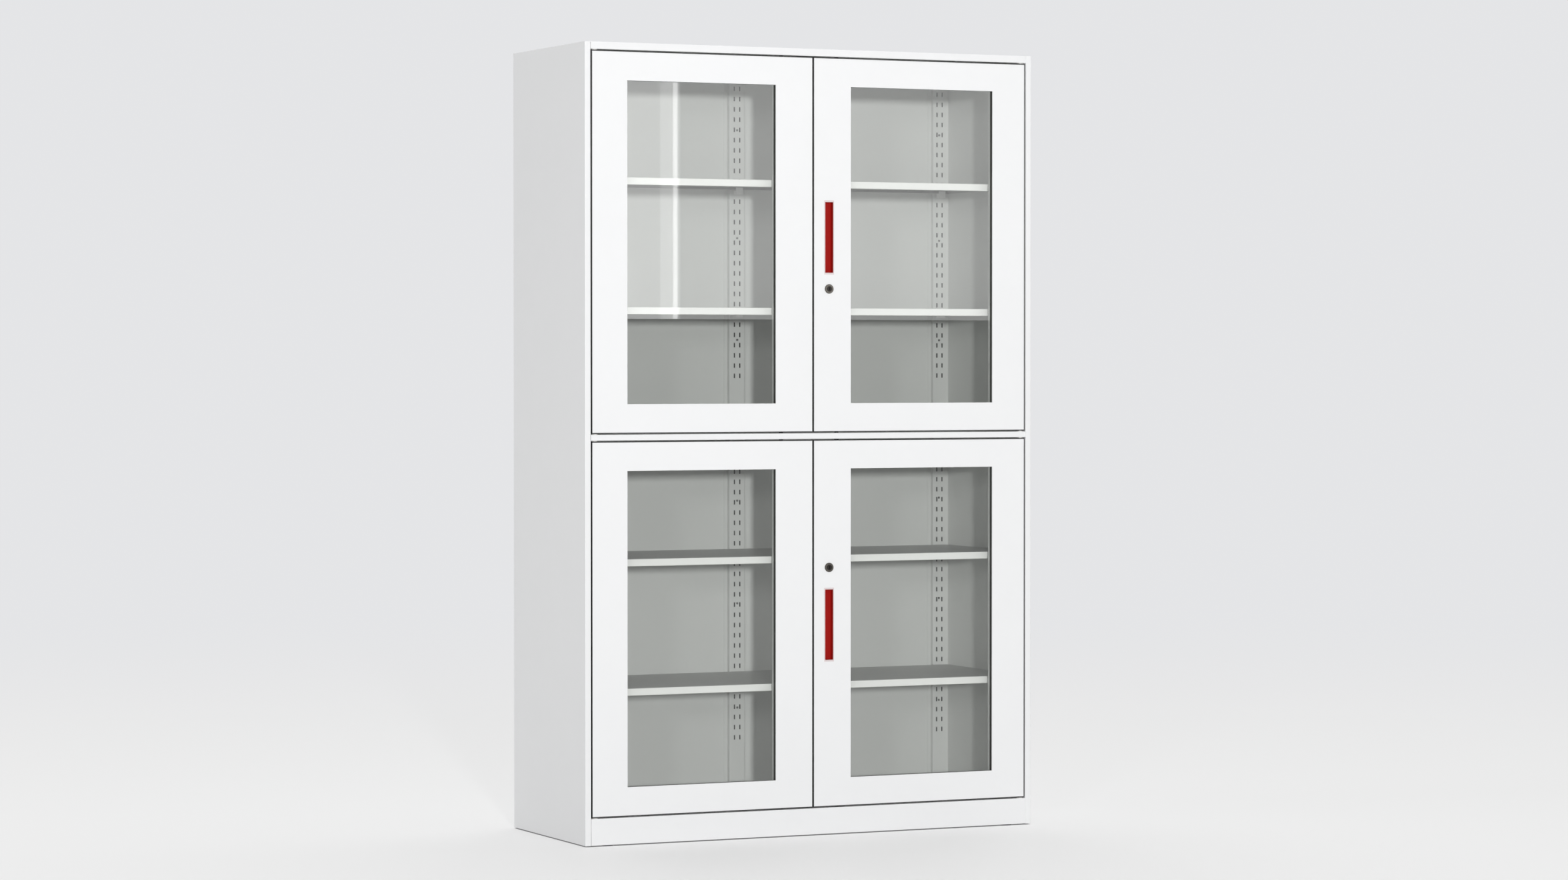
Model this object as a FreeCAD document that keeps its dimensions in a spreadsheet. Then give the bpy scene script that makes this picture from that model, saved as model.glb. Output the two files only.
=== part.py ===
import FreeCAD, Part
import os
import re
from dataclasses import dataclass

import Sketcher

# A free-standing sheet-steel cabinet with two tiers of glazed double doors.
# Frame: origin on the floor under the middle of the cabinet, +Z up, +X to the right of a person
# who faces the doors, +Y towards the back. Lengths are in millimetres.

DIMENSIONS = {
    # Overall size
    "cabinet_width": 1160.0,
    "cabinet_depth": 447.0,
    "cabinet_height": 1850.0,
    # Sheet steel, folds, butt seams and the overrun of every cut
    "sheet": 1.0,
    "bend_radius": 1.5,
    "seam": 0.3,
    "overrun": 0.5,
    "fit_gap": 0.1,
    # Side panels
    "flange_face": 14.4,
    "jamb_depth": 34.0,
    "jamb_gap": 2.0,
    # Rails, decks and plinth
    "plinth_face": 62.0,
    "middle_face": 14.0,
    "top_face": 17.0,
    "rail_return": 36.0,
    "rail_lip": 8.0,
    "rear_drop": 20.0,
    "deck_fold": 30.0,
    "base_return": 32.0,
    "base_lip": 10.0,
    # Slotted uprights at the back
    "upright_width": 42.0,
    "upright_depth": 12.0,
    "upright_flange": 9.0,
    "upright_round": 2.5,
    "notch_gap": 1.0,
    "slot_width": 3.4,
    "slot_height": 11.0,
    "slot_pitch": 25.0,
    "slot_spread": 14.5,
    "slot_rise": 133.0,
    "slot_headroom": 20.0,
    "corner_slot_inset": 18.0,
    # Shelves
    "shelf_edge": 17.0,
    "shelf_rear_lip": 8.0,
    "shelf_side_lip": 8.0,
    "shelf_hem": 10.0,
    "shelf_side_gap": 3.0,
    "shelf_front_gap": 3.0,
    "shelf_rear_gap": 2.4,
    # Shelf clips
    "clip_rise": 11.5,
    "clip_sheet": 1.6,
    "clip_width": 18.0,
    "clip_drop": 11.0,
    "clip_tab": 14.6,
    "clip_face": 16.5,
    "front_clip_width": 8.0,
    "tongue_width": 2.6,
    "tongue_height": 7.0,
    "tongue_reach": 3.0,
    # Levelling glides
    "glide_height": 2.0,
    "glide_radius": 14.0,
    "glide_stem_radius": 4.0,
    "glide_stem": 14.0,
    "glide_inset": 60.0,
    # Doors
    "door_gap": 4.0,
    "meeting_gap": 4.4,
    "lower_door_height": 862.0,
    "door_sheet": 1.0,
    "door_depth": 20.0,
    "hinge_stile": 87.0,
    "meeting_stile": 95.5,
    "window_rail": 66.0,
    "liner_rim": 6.0,
    # Glazing
    "glass_setback": 6.0,
    "glass_thickness": 4.0,
    "glass_cover": 8.0,
    "gasket_wall": 2.0,
    "gasket_back": 1.5,
    # Pivots
    "pivot_inset": 8.0,
    "pivot_setback": 8.0,
    "pivot_plate": 3.0,
    "pivot_plate_length": 22.0,
    "pivot_plate_width": 11.0,
    "pin_radius": 3.0,
    "pin_engagement": 5.0,
    "running_gap": 0.05,
    "bush_wall": 2.0,
    "bush_length": 6.0,
    "bush_rim": 1.2,
    "bush_rim_width": 2.0,
    # Door buffers
    "buffer_radius": 5.0,
    "buffer_overlap": 6.0,
    "buffer_gap": 0.3,
    "buffer_inset": 70.0,
    "buffer_round": 2.0,
    # Recessed pulls
    "pull_inset": 38.5,
    "pull_width": 21.0,
    "pull_height": 166.0,
    "pull_depth": 14.0,
    "pull_round": 3.0,
    "cup_wall": 1.0,
    "bezel_side": 2.0,
    "bezel_end": 4.0,
    "bezel_proud": 1.2,
    "bezel_round": 0.5,
    "upper_pull_rise": 456.0,
    "lower_pull_rise": 428.0,
    # Cam locks
    "upper_lock_drop": 121.0,
    "lower_lock_rise": 135.0,
    "lock_head": 2.5,
    "lock_head_radius": 11.0,
    "lock_head_round": 1.2,
    "lock_radius": 9.0,
    "lock_tail": 1.0,
    "nut_radius": 13.0,
    "nut_thickness": 3.0,
    "plug_radius": 6.5,
    "plug_proud": 0.5,
    "plug_tail_radius": 4.0,
    "keyway_width": 1.6,
    "keyway_height": 7.5,
    "keyway_depth": 6.0,
    "cam_thickness": 2.0,
    "cam_width": 14.0,
    "cam_round": 3.0,
    "cam_gap": 0.4,
    "cam_clear": 1.0,
    "cam_bite": 8.0,
    "cam_screw": 1.5,
    # Flush bolts
    "bolt_inset": 30.0,
    "bolt_radius": 3.0,
    "bolt_length": 80.0,
    "bolt_withdrawn": 2.0,
    "bolt_hole_gap": 1.8,
    "bolt_knob_radius": 4.0,
    "bolt_knob_length": 8.0,
    "guide_margin": 12.0,
    "guide_length": 56.0,
    "guide_width": 22.0,
    "guide_plate": 1.5,
    "guide_eye": 8.0,
    "guide_wall": 2.0,
}

# Sizes and places that follow from the driving dimensions. Depths are counted from the cabinet's
# front face, heights from the floor.
DERIVED = {
    "lock_proud": "lock_head + plug_proud",
    "left_face": "-cabinet_width / 2",
    "front_face": "(lock_proud - cabinet_depth) / 2",
    "back_face": "cabinet_depth - 2 * sheet",
    "web_face": "back_face - upright_depth",
    "rail_start": "flange_face + seam",
    "rail_width": "cabinet_width - 2 * rail_start",
    "wide_start": "jamb_depth + seam",
    "plinth_top": "glide_height + plinth_face",
    "lower_door_base": "plinth_top + door_gap",
    "middle_base": "lower_door_base + lower_door_height + door_gap",
    "middle_top": "middle_base + middle_face",
    "upper_door_base": "middle_top + door_gap",
    "top_base": "cabinet_height - top_face",
    "upper_door_height": "top_base - door_gap - upper_door_base",
    "door_width": "(cabinet_width - 2 * flange_face - 2 * door_gap - meeting_gap) / 2",
    "left_door": "left_face + flange_face + door_gap",
    "right_door": "meeting_gap / 2",
    "gasket_end": "glass_setback + glass_thickness + gasket_back",
    "jamb_slot": "(sheet + jamb_gap + flange_face) / 2",
    "shelf_front": "jamb_depth + shelf_front_gap",
    "shelf_rear": "web_face - shelf_rear_gap",
    "shelf_start": "sheet + shelf_side_gap",
    "shelf_width": "cabinet_width - 2 * shelf_start",
    "bush_radius": "pin_radius + running_gap + bush_wall",
    "bush_hole": "bush_radius + fit_gap",
    "bolt_setback": "door_depth + guide_plate + guide_wall + bolt_radius",
    "bolt_hole": "bolt_radius + bolt_hole_gap",
    "guide_half": "bolt_radius + guide_wall",
    "buffer_setback": "door_depth + buffer_gap + buffer_radius",
    "lock_end": "door_depth + nut_thickness + lock_tail",
    "cam_front": "door_depth + cam_clear",
    "cam_crank": "lock_end + cam_gap - cam_front",
    "cam_length": "pull_inset + meeting_gap + cam_bite",
    "cam_bend": "cam_length - nut_radius - cam_clear",
    "cam_back": "lock_end + cam_gap + cam_thickness",
}

# Floor and ceiling of each tier, and the slots that carry its two shelves, counted upwards.
TIERS = {"lower": ("plinth_top", "middle_base"), "upper": ("middle_top", "top_base")}
SHELF_SLOT_COUNTS = {"bottom": 6, "top": 18}

NO_TURN = FreeCAD.Rotation()
HALF_TURN_X = FreeCAD.Rotation(FreeCAD.Vector(1, 0, 0), 180)
HALF_TURN_Y = FreeCAD.Rotation(FreeCAD.Vector(0, 1, 0), 180)
HALF_TURN_Z = FreeCAD.Rotation(FreeCAD.Vector(0, 0, 1), 180)
ALONG_Y = FreeCAD.Rotation(FreeCAD.Vector(1, 0, 0), -90)
SAME_PLACE = 1e-6

doc = FreeCAD.newDocument("glazed_cabinet")
dims = doc.addObject("Spreadsheet::Sheet", "dims")
for row, (alias, number) in enumerate(DIMENSIONS.items(), start=1):
    dims.set(f"A{row}", alias)
    dims.set(f"B{row}", str(number))
    dims.setAlias(f"B{row}", alias)
doc.recompute()

nodes = []


@dataclass(frozen=True)
class Door:
    """Formulas that set one door apart from the other three."""

    name: str
    corner: str
    base: str
    height: str
    left_stile: str
    right_stile: str
    pivot: str
    plate_turns: tuple
    pull_rise: str = ""
    lock_rise: str = ""

    @property
    def window(self):
        """Left, bottom, right and top of the window, from the door's lower left corner."""
        right = f"door_width - {self.right_stile}"
        return self.left_stile, "window_rail", right, f"{self.height} - window_rail"


DOORS = [
    Door("upper_left", "left_door", "upper_door_base", "upper_door_height", "hinge_stile",
         "meeting_stile", "pivot_inset", (NO_TURN, HALF_TURN_X)),
    Door("upper_right", "right_door", "upper_door_base", "upper_door_height", "meeting_stile",
         "hinge_stile", "door_width - pivot_inset", (HALF_TURN_Z, HALF_TURN_Y),
         "upper_pull_rise", "upper_pull_rise - upper_lock_drop"),
    Door("lower_left", "left_door", "lower_door_base", "lower_door_height", "hinge_stile",
         "meeting_stile", "pivot_inset", (NO_TURN, HALF_TURN_X)),
    Door("lower_right", "right_door", "lower_door_base", "lower_door_height", "meeting_stile",
         "hinge_stile", "door_width - pivot_inset", (HALF_TURN_Z, HALF_TURN_Y),
         "lower_pull_rise", "lower_pull_rise + lower_lock_rise"),
]
LEFT_DOORS = [door for door in DOORS if not door.pull_rise]
RIGHT_DOORS = [door for door in DOORS if door.pull_rise]


def formula(text):
    """Spell a size out in the cells of the sheet."""
    def spell(match):
        word = match.group()
        if word in DIMENSIONS:
            return "dims." + word
        if word in DERIVED:
            return "(" + formula(DERIVED[word]) + ")"
        return word
    return re.sub(r"[a-z_]+", spell, text)


def value(text):
    """Number that a formula gives with the sheet as it stands."""
    return float(dims.evalExpression(formula(text)))


def place(thing, x, y, z):
    """Bind where a piece stands."""
    for axis, distance in zip("xyz", (x, y, z)):
        thing.setExpression("Placement.Base." + axis, formula(distance))


def start_body(label, x="left_face", y="front_face", z="0"):
    """Start a piece, drawn from the cabinet's lower left front corner unless told otherwise."""
    body = doc.addObject("PartDesign::Body", label)
    body.Label = label
    place(body, x, y, z)
    return body


def origin_feature(body, role):
    """One of the body's own planes or axes."""
    return next(item for item in body.Origin.OriginFeatures if item.Role == role)


def start_sketch(body, role, lift="0"):
    """Start a sketch on a plane of the body, moved along that plane's positive axis."""
    sketch = body.newObject("Sketcher::SketchObject", "sketch")
    sketch.AttachmentSupport = (origin_feature(body, role), [""])
    sketch.MapMode = "FlatFace"
    sign = "-1" if role == "XZ_Plane" else "1"
    sketch.setExpression("AttachmentOffset.Base.z", formula(f"{sign} * ({lift})"))
    return sketch


def hold(sketch, way, geometry, vertex, distance):
    """Tie one coordinate of a sketch point to the sheet, or to the axis where it is zero."""
    if distance == "0":
        axis = -2 if way == "X" else -1
        sketch.addConstraint(Sketcher.Constraint("PointOnObject", geometry, vertex, axis))
        return
    tie = Sketcher.Constraint("Distance" + way, -1, 1, geometry, vertex, value(distance))
    name = f"{way.lower()}_{geometry}"
    sketch.renameConstraint(sketch.addConstraint(tie), name)
    sketch.setExpression("Constraints." + name, formula(distance))


def polygon(sketch, corners):
    """Draw a closed outline of straight lines, each corner bound to the sheet."""
    first = sketch.GeometryCount
    points = [FreeCAD.Vector(value(x), value(y), 0) for x, y in corners]
    for start, end in zip(points, points[1:] + points[:1]):
        sketch.addGeometry(Part.LineSegment(start, end), False)
    for step, (x, y) in enumerate(corners):
        line = first + step
        following = first + (step + 1) % len(corners)
        sketch.addConstraint(Sketcher.Constraint("Coincident", line, 2, following, 1))
        hold(sketch, "X", line, 1, x)
        hold(sketch, "Y", line, 1, y)


def rectangle(sketch, left, bottom, right, top):
    """Draw an upright rectangle between four bound sides."""
    polygon(sketch, [(left, bottom), (right, bottom), (right, top), (left, top)])


def circle(sketch, x, y, radius):
    """Draw a circle with its centre and radius bound."""
    centre = FreeCAD.Vector(value(x), value(y), 0)
    ring = sketch.addGeometry(Part.Circle(centre, FreeCAD.Vector(0, 0, 1), value(radius)), False)
    hold(sketch, "X", ring, 3, x)
    hold(sketch, "Y", ring, 3, y)
    name = f"radius_{ring}"
    tie = Sketcher.Constraint("Radius", ring, value(radius))
    sketch.renameConstraint(sketch.addConstraint(tie), name)
    sketch.setExpression("Constraints." + name, formula(radius))


def grown(sides, margin):
    """Sides of a rectangle moved outwards by a margin."""
    left, bottom, right, top = sides
    return f"{left} - {margin}", f"{bottom} - {margin}", f"{right} + {margin}", f"{top} + {margin}"


def on_upright_plane(sketch):
    """Whether the sketch lies on the plane whose own normal points to the front."""
    return sketch.AttachmentSupport[0][0].Role == "XZ_Plane"


def pad(body, sketch, length):
    """Thicken a sketch along the positive axis."""
    feature = body.newObject("PartDesign::Pad", "pad")
    feature.Profile = sketch
    feature.Reversed = on_upright_plane(sketch)
    feature.setExpression("Length", formula(length))
    return feature


def pocket(body, sketch, length):
    """Cut a sketch into the body along the positive axis, and make sure that it bites."""
    feature = body.newObject("PartDesign::Pocket", "pocket")
    feature.Profile = sketch
    feature.Reversed = not on_upright_plane(sketch)
    feature.setExpression("Length", formula(length))
    doc.recompute()
    if feature.Shape.Volume >= feature.BaseFeature.Shape.Volume - SAME_PLACE:
        raise ValueError(f"a cut in {body.Label} misses the piece")
    return feature


def repeat_up(body, feature, count, pitch):
    """Repeat a cut upwards at a steady pitch."""
    pattern = body.newObject("PartDesign::LinearPattern", "row")
    pattern.Originals = [feature]
    pattern.Direction = (origin_feature(body, "Z_Axis"), [""])
    pattern.setExpression("Occurrences", formula(count))
    pattern.setExpression("Length", formula(f"({count} - 1) * {pitch}"))
    body.Tip = pattern


def fillet(body, radius, chosen):
    """Round the edges of the body that a test on their end points picks."""
    doc.recompute()
    base = body.Tip
    edges = enumerate(base.Shape.Edges, start=1)
    names = [f"Edge{i}" for i, edge in edges if chosen([v.Point for v in edge.Vertexes])]
    if not names:
        raise ValueError(f"no edge to round on {body.Label}")
    feature = body.newObject("PartDesign::Fillet", "fillet")
    feature.Base = (base, names)
    feature.setExpression("Radius", formula(radius))
    doc.recompute()


def near(one, other):
    """Whether two coordinates are the same place."""
    return abs(one - other) < SAME_PLACE


def along_z_at(corners):
    """Test for upright edges that stand at any of the given corners."""
    places = [(value(x), value(y)) for x, y in corners]

    def chosen(ends):
        return len(ends) == 2 and any(all(near(p.x, x) and near(p.y, y) for p in ends) for x, y in places)
    return chosen


def along_x_at(corners):
    """Test for level edges, left to right, at any of the given depths and heights."""
    places = [(value(y), value(z)) for y, z in corners]

    def chosen(ends):
        return len(ends) == 2 and any(all(near(p.y, y) and near(p.z, z) for p in ends) for y, z in places)
    return chosen


def in_depth(depth):
    """Test for edges that lie in the plane at one depth."""
    level = value(depth)

    def chosen(ends):
        return all(near(p.y, level) for p in ends)
    return chosen


def on_rim(sides, depth):
    """Test for the four edges of an upright rectangle at one depth."""
    left, bottom, right, top = (value(side) for side in sides)
    level = value(depth)

    def chosen(ends):
        if len(ends) != 2 or not all(near(p.y, level) for p in ends):
            return False
        rows = any(all(near(p.z, z) for p in ends) for z in (bottom, top))
        columns = any(all(near(p.x, x) for p in ends) for x in (left, right))
        return rows or columns
    return chosen


def solid(kind, sizes, x="0", y="0", z="0", turn=NO_TURN):
    """Make a primitive with its sizes and place bound."""
    thing = doc.addObject("Part::" + kind, kind.lower())
    thing.Placement = FreeCAD.Placement(FreeCAD.Vector(), turn)
    for size, text in sizes.items():
        thing.setExpression(size, formula(text))
    place(thing, x, y, z)
    return thing


def fuse(first, second):
    """Join two solids into one."""
    joined = doc.addObject("Part::Fuse", "fuse")
    joined.Base = first
    joined.Tool = second
    joined.Refine = True
    return joined


def cut(base, tool):
    """Take one solid out of another."""
    remainder = doc.addObject("Part::Cut", "cut")
    remainder.Base = base
    remainder.Tool = tool
    return remainder


def copies(label, master, spots):
    """Gather copies of one piece, each with its place and turn, under one name."""
    links = []
    for x, y, z, turn in spots:
        link = doc.addObject("App::Link", label + "_copy")
        link.LinkedObject = master
        link.Placement = FreeCAD.Placement(FreeCAD.Vector(), turn)
        place(link, x, y, z)
        links.append(link)
    return gather(label, links)


def gather(label, pieces):
    """Put separate solids under one name."""
    group = doc.addObject("Part::Compound", label)
    group.Label = label
    group.Links = pieces
    return group


def mirrored(label, source):
    """Opposite hand of a piece, across the middle of the cabinet."""
    twin = doc.addObject("Part::Mirroring", label)
    twin.Label = label
    twin.Source = source
    twin.Normal = FreeCAD.Vector(1, 0, 0)
    return twin


def slot_rows(body, columns, depth):
    """Punch the shelf slots of both tiers through a sheet at one depth."""
    for floor, ceiling in TIERS.values():
        sketch = start_sketch(body, "XZ_Plane", f"{depth} - overrun")
        for column in columns:
            rectangle(sketch, f"{column} - slot_width / 2", f"{floor} + slot_rise - slot_height / 2",
                      f"{column} + slot_width / 2", f"{floor} + slot_rise + slot_height / 2")
        punch = pocket(body, sketch, "sheet + 2 * overrun")
        room = f"{ceiling} - slot_headroom - {floor} - slot_rise"
        repeat_up(body, punch, f"(floor(({room}) / slot_pitch) + 1)", "slot_pitch")


def side_panels():
    """Outer walls: front flange, jamb folded behind it with the front slots, and rear flange."""
    left = start_body("side_panel_left")
    outline = start_sketch(left, "XY_Plane", "glide_height")
    polygon(outline, [
        ("flange_face", "cabinet_depth"), ("0", "cabinet_depth"), ("0", "0"), ("flange_face", "0"),
        ("flange_face", "jamb_depth"), ("sheet + jamb_gap", "jamb_depth"),
        ("sheet + jamb_gap", "jamb_depth - sheet"), ("flange_face - sheet", "jamb_depth - sheet"),
        ("flange_face - sheet", "sheet"), ("sheet", "sheet"), ("sheet", "cabinet_depth - sheet"),
        ("flange_face", "cabinet_depth - sheet")])
    pad(left, outline, "cabinet_height - sheet - glide_height")
    fillet(left, "bend_radius", along_z_at([
        ("0", "0"), ("0", "cabinet_depth"), ("flange_face", "0"), ("flange_face", "jamb_depth")]))
    slot_rows(left, ["jamb_slot"], "jamb_depth - sheet")
    return [left, mirrored("side_panel_right", left)]


def rail_holes(body, height, with_bolt=True):
    """Holes for the pivot bushes, and for a flush bolt, through the sheet above a height."""
    sketch = start_sketch(body, "XY_Plane", f"{height} - overrun")
    pivot = "flange_face + door_gap + pivot_inset"
    circle(sketch, pivot, "pivot_setback", "bush_hole")
    circle(sketch, f"cabinet_width - ({pivot})", "pivot_setback", "bush_hole")
    if with_bolt:
        circle(sketch, "flange_face + door_gap + door_width - bolt_inset", "bolt_setback", "bolt_hole")
    pocket(body, sketch, "sheet + 2 * overrun")


def top_panel():
    """Lid over the whole cabinet, its front rail folded down between the side flanges."""
    body = start_body("top_panel")
    section = start_sketch(body, "YZ_Plane", "rail_start")
    polygon(section, [
        ("0", "top_base"), ("rail_return", "top_base"), ("rail_return", "top_base + rail_lip"),
        ("rail_return - sheet", "top_base + rail_lip"), ("rail_return - sheet", "top_base + sheet"),
        ("sheet", "top_base + sheet"), ("sheet", "cabinet_height - sheet"),
        ("cabinet_depth - sheet", "cabinet_height - sheet"),
        ("cabinet_depth - sheet", "cabinet_height - rear_drop"),
        ("cabinet_depth", "cabinet_height - rear_drop"), ("cabinet_depth", "cabinet_height"),
        ("0", "cabinet_height")])
    pad(body, section, "rail_width")
    lid = start_sketch(body, "XY_Plane", "cabinet_height - sheet")
    rectangle(lid, "0", "0", "cabinet_width", "cabinet_depth")
    pad(body, lid, "sheet")
    fillet(body, "bend_radius", along_x_at([("0", "top_base"), ("rail_return", "top_base")]))
    rail_holes(body, "top_base")
    return [body]


def deck_sheet(body, top):
    """Full-width part of a deck, from behind the jambs to the back panel."""
    sketch = start_sketch(body, "XY_Plane", f"{top} - sheet")
    rectangle(sketch, "sheet", "wide_start", "cabinet_width - sheet", "back_face")
    pad(body, sketch, "sheet")


def middle_deck():
    """Fixed deck between the tiers, with the narrow rail face that shows between the doors."""
    body = start_body("middle_deck")
    section = start_sketch(body, "YZ_Plane", "rail_start")
    polygon(section, [
        ("0", "middle_base"), ("rail_return", "middle_base"), ("rail_return", "middle_base + rail_lip"),
        ("rail_return - sheet", "middle_base + rail_lip"), ("rail_return - sheet", "middle_base + sheet"),
        ("sheet", "middle_base + sheet"), ("sheet", "middle_top - sheet"),
        ("back_face - sheet", "middle_top - sheet"), ("back_face - sheet", "middle_base"),
        ("back_face", "middle_base"), ("back_face", "middle_top"), ("0", "middle_top")])
    pad(body, section, "rail_width")
    deck_sheet(body, "middle_top")
    fillet(body, "bend_radius", along_x_at([
        ("0", "middle_base"), ("0", "middle_top"), ("rail_return", "middle_base")]))
    notches = start_sketch(body, "XY_Plane", "middle_base - overrun")
    half = "(upright_width / 2 + upright_flange + notch_gap)"
    corner = "(sheet + upright_width + upright_flange + notch_gap)"
    front = "web_face - notch_gap"
    rear = "back_face + overrun"
    rectangle(notches, "sheet - overrun", front, corner, rear)
    rectangle(notches, f"cabinet_width / 2 - {half}", front, f"cabinet_width / 2 + {half}", rear)
    rectangle(notches, f"cabinet_width - {corner}", front, "cabinet_width - sheet + overrun", rear)
    pocket(body, notches, "middle_face + 2 * overrun")
    rail_holes(body, "middle_base")
    rail_holes(body, "middle_top - sheet")
    return [body]


def floor_deck():
    """Floor of the lower tier, with the fold behind the plinth and the rear apron it stands on."""
    body = start_body("floor_deck")
    section = start_sketch(body, "YZ_Plane", "rail_start")
    apron = "back_face - sheet"
    polygon(section, [
        ("sheet", "plinth_top - deck_fold"), ("2 * sheet", "plinth_top - deck_fold"),
        ("2 * sheet", "plinth_top - sheet"), (apron, "plinth_top - sheet"), (apron, "glide_height + sheet"),
        ("back_face - base_return", "glide_height + sheet"), ("back_face - base_return", "glide_height"),
        ("back_face", "glide_height"), ("back_face", "plinth_top"), ("sheet", "plinth_top")])
    pad(body, section, "rail_width")
    deck_sheet(body, "plinth_top")
    rail_holes(body, "plinth_top - sheet")
    glide_holes(body, "back_face - base_return / 2")
    return [body]


def glide_holes(body, depth):
    """Holes for the stems of two levelling glides through a bottom return."""
    sketch = start_sketch(body, "XY_Plane", "glide_height - overrun")
    for across in ("glide_inset", "cabinet_width - glide_inset"):
        circle(sketch, across, depth, "glide_stem_radius + fit_gap")
    pocket(body, sketch, "sheet + 2 * overrun")


def plinth_board():
    """Board that closes the base under the lower doors."""
    body = start_body("plinth_board")
    section = start_sketch(body, "YZ_Plane", "rail_start")
    polygon(section, [
        ("0", "glide_height"), ("base_return", "glide_height"), ("base_return", "glide_height + base_lip"),
        ("base_return - sheet", "glide_height + base_lip"), ("base_return - sheet", "glide_height + sheet"),
        ("sheet", "glide_height + sheet"), ("sheet", "plinth_top"), ("0", "plinth_top")])
    pad(body, section, "rail_width")
    fillet(body, "bend_radius", along_x_at([("0", "glide_height"), ("base_return", "glide_height")]))
    glide_holes(body, "base_return / 2")
    return [body]


def back_panel():
    """Plain sheet between the side panels, in front of their rear flanges."""
    body = start_body("back_panel")
    sketch = start_sketch(body, "XZ_Plane", "back_face")
    rectangle(sketch, "sheet", "glide_height", "cabinet_width - sheet", "cabinet_height - sheet")
    pad(body, sketch, "sheet")
    return [body]


def upright(label, section, columns, outer, inner):
    """Slotted channel on the back panel, from the floor deck to the lid, its folds rounded."""
    body = start_body(label)
    sketch = start_sketch(body, "XY_Plane", "plinth_top")
    polygon(sketch, section)
    pad(body, sketch, "cabinet_height - sheet - plinth_top")
    fillet(body, "upright_round", along_z_at(outer))
    fillet(body, "upright_round - sheet", along_z_at(inner))
    slot_rows(body, columns, "web_face")
    return body


def rear_uprights():
    """A hat channel in the middle of the back and a channel in each rear corner."""
    left = "cabinet_width / 2 - upright_width / 2"
    right = "cabinet_width / 2 + upright_width / 2"
    seat = "back_face - sheet"
    web_back = "web_face + sheet"
    middle = "cabinet_width / 2"
    centre = upright("rear_upright_centre", [
        (f"{left} - upright_flange", "back_face"), (f"{left} - upright_flange", seat), (left, seat),
        (left, "web_face"), (right, "web_face"), (right, seat), (f"{right} + upright_flange", seat),
        (f"{right} + upright_flange", "back_face"), (f"{right} - sheet", "back_face"),
        (f"{right} - sheet", web_back), (f"{left} + sheet", web_back), (f"{left} + sheet", "back_face")],
        [f"{middle} - slot_spread / 2", f"{middle} + slot_spread / 2"],
        [(left, "web_face"), (right, "web_face")],
        [(f"{left} + sheet", web_back), (f"{right} - sheet", web_back)])
    inner = "sheet + upright_width"
    pair = f"{inner} - corner_slot_inset"
    corner = upright("rear_upright_left", [
        ("sheet", "back_face"), ("sheet", "web_face"), (inner, "web_face"), (inner, seat),
        (f"{inner} + upright_flange", seat), (f"{inner} + upright_flange", "back_face"),
        (f"{inner} - sheet", "back_face"), (f"{inner} - sheet", web_back), ("2 * sheet", web_back),
        ("2 * sheet", "back_face")],
        [f"{pair} - slot_spread / 2", f"{pair} + slot_spread / 2"],
        [(inner, "web_face")], [(f"{inner} - sheet", web_back)])
    return [corner, centre, mirrored("rear_upright_right", corner)]


def shelf_top(floor, slots):
    """Height of a shelf whose clips hang in a given slot of a tier."""
    return f"({floor} + slot_rise + {slots} * slot_pitch + clip_rise)"


def shelf(label, top):
    """Folded tray with a deep hemmed front edge and shallow rear and side lips."""
    body = start_body(label)
    section = start_sketch(body, "YZ_Plane", "shelf_start")
    heel = f"{top} - shelf_rear_lip"
    toe = f"{top} - shelf_edge"
    polygon(section, [
        ("shelf_front", top), ("shelf_rear", top), ("shelf_rear", heel), ("shelf_rear - shelf_hem", heel),
        ("shelf_rear - shelf_hem", f"{heel} + sheet"), ("shelf_rear - sheet", f"{heel} + sheet"),
        ("shelf_rear - sheet", f"{top} - sheet"), ("shelf_front + sheet", f"{top} - sheet"),
        ("shelf_front + sheet", f"{toe} + sheet"), ("shelf_front + shelf_hem", f"{toe} + sheet"),
        ("shelf_front + shelf_hem", toe), ("shelf_front", toe)])
    pad(body, section, "shelf_width")
    lips = start_sketch(body, "XY_Plane", f"{top} - shelf_side_lip")
    rectangle(lips, "shelf_start", "shelf_front", "shelf_start + sheet", "shelf_rear")
    end = "shelf_start + shelf_width"
    rectangle(lips, f"{end} - sheet", "shelf_front", end, "shelf_rear")
    pad(body, lips, "shelf_side_lip")
    fillet(body, "bend_radius", along_x_at([("shelf_front", top), ("shelf_front", toe)]))
    return body


def rear_clip():
    """Bracket with two tongues: a ledge under the shelf's rear lip, and a face that stops it in front."""
    body = start_body("rear_clip", "0", "0", "0")
    section = start_sketch(body, "YZ_Plane")
    under = "clip_drop - clip_sheet"
    polygon(section, [
        ("0", "0"), ("clip_sheet", "0"), ("clip_sheet", under), ("clip_tab - clip_sheet", under),
        ("clip_tab - clip_sheet", "0"), ("clip_tab", "0"), ("clip_tab", "clip_drop"),
        ("clip_sheet", "clip_drop"), ("clip_sheet", "clip_face"), ("0", "clip_face")])
    pad(body, section, "clip_width")
    centre = "clip_drop + shelf_rear_lip - clip_rise"
    tongues = start_sketch(body, "XZ_Plane", "clip_tab")
    for column in ("clip_width / 2 - slot_spread / 2", "clip_width / 2 + slot_spread / 2"):
        rectangle(tongues, f"{column} - tongue_width / 2", f"{centre} - tongue_height / 2",
                  f"{column} + tongue_width / 2", f"{centre} + tongue_height / 2")
    pad(body, tongues, "tongue_reach")
    return body


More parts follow.
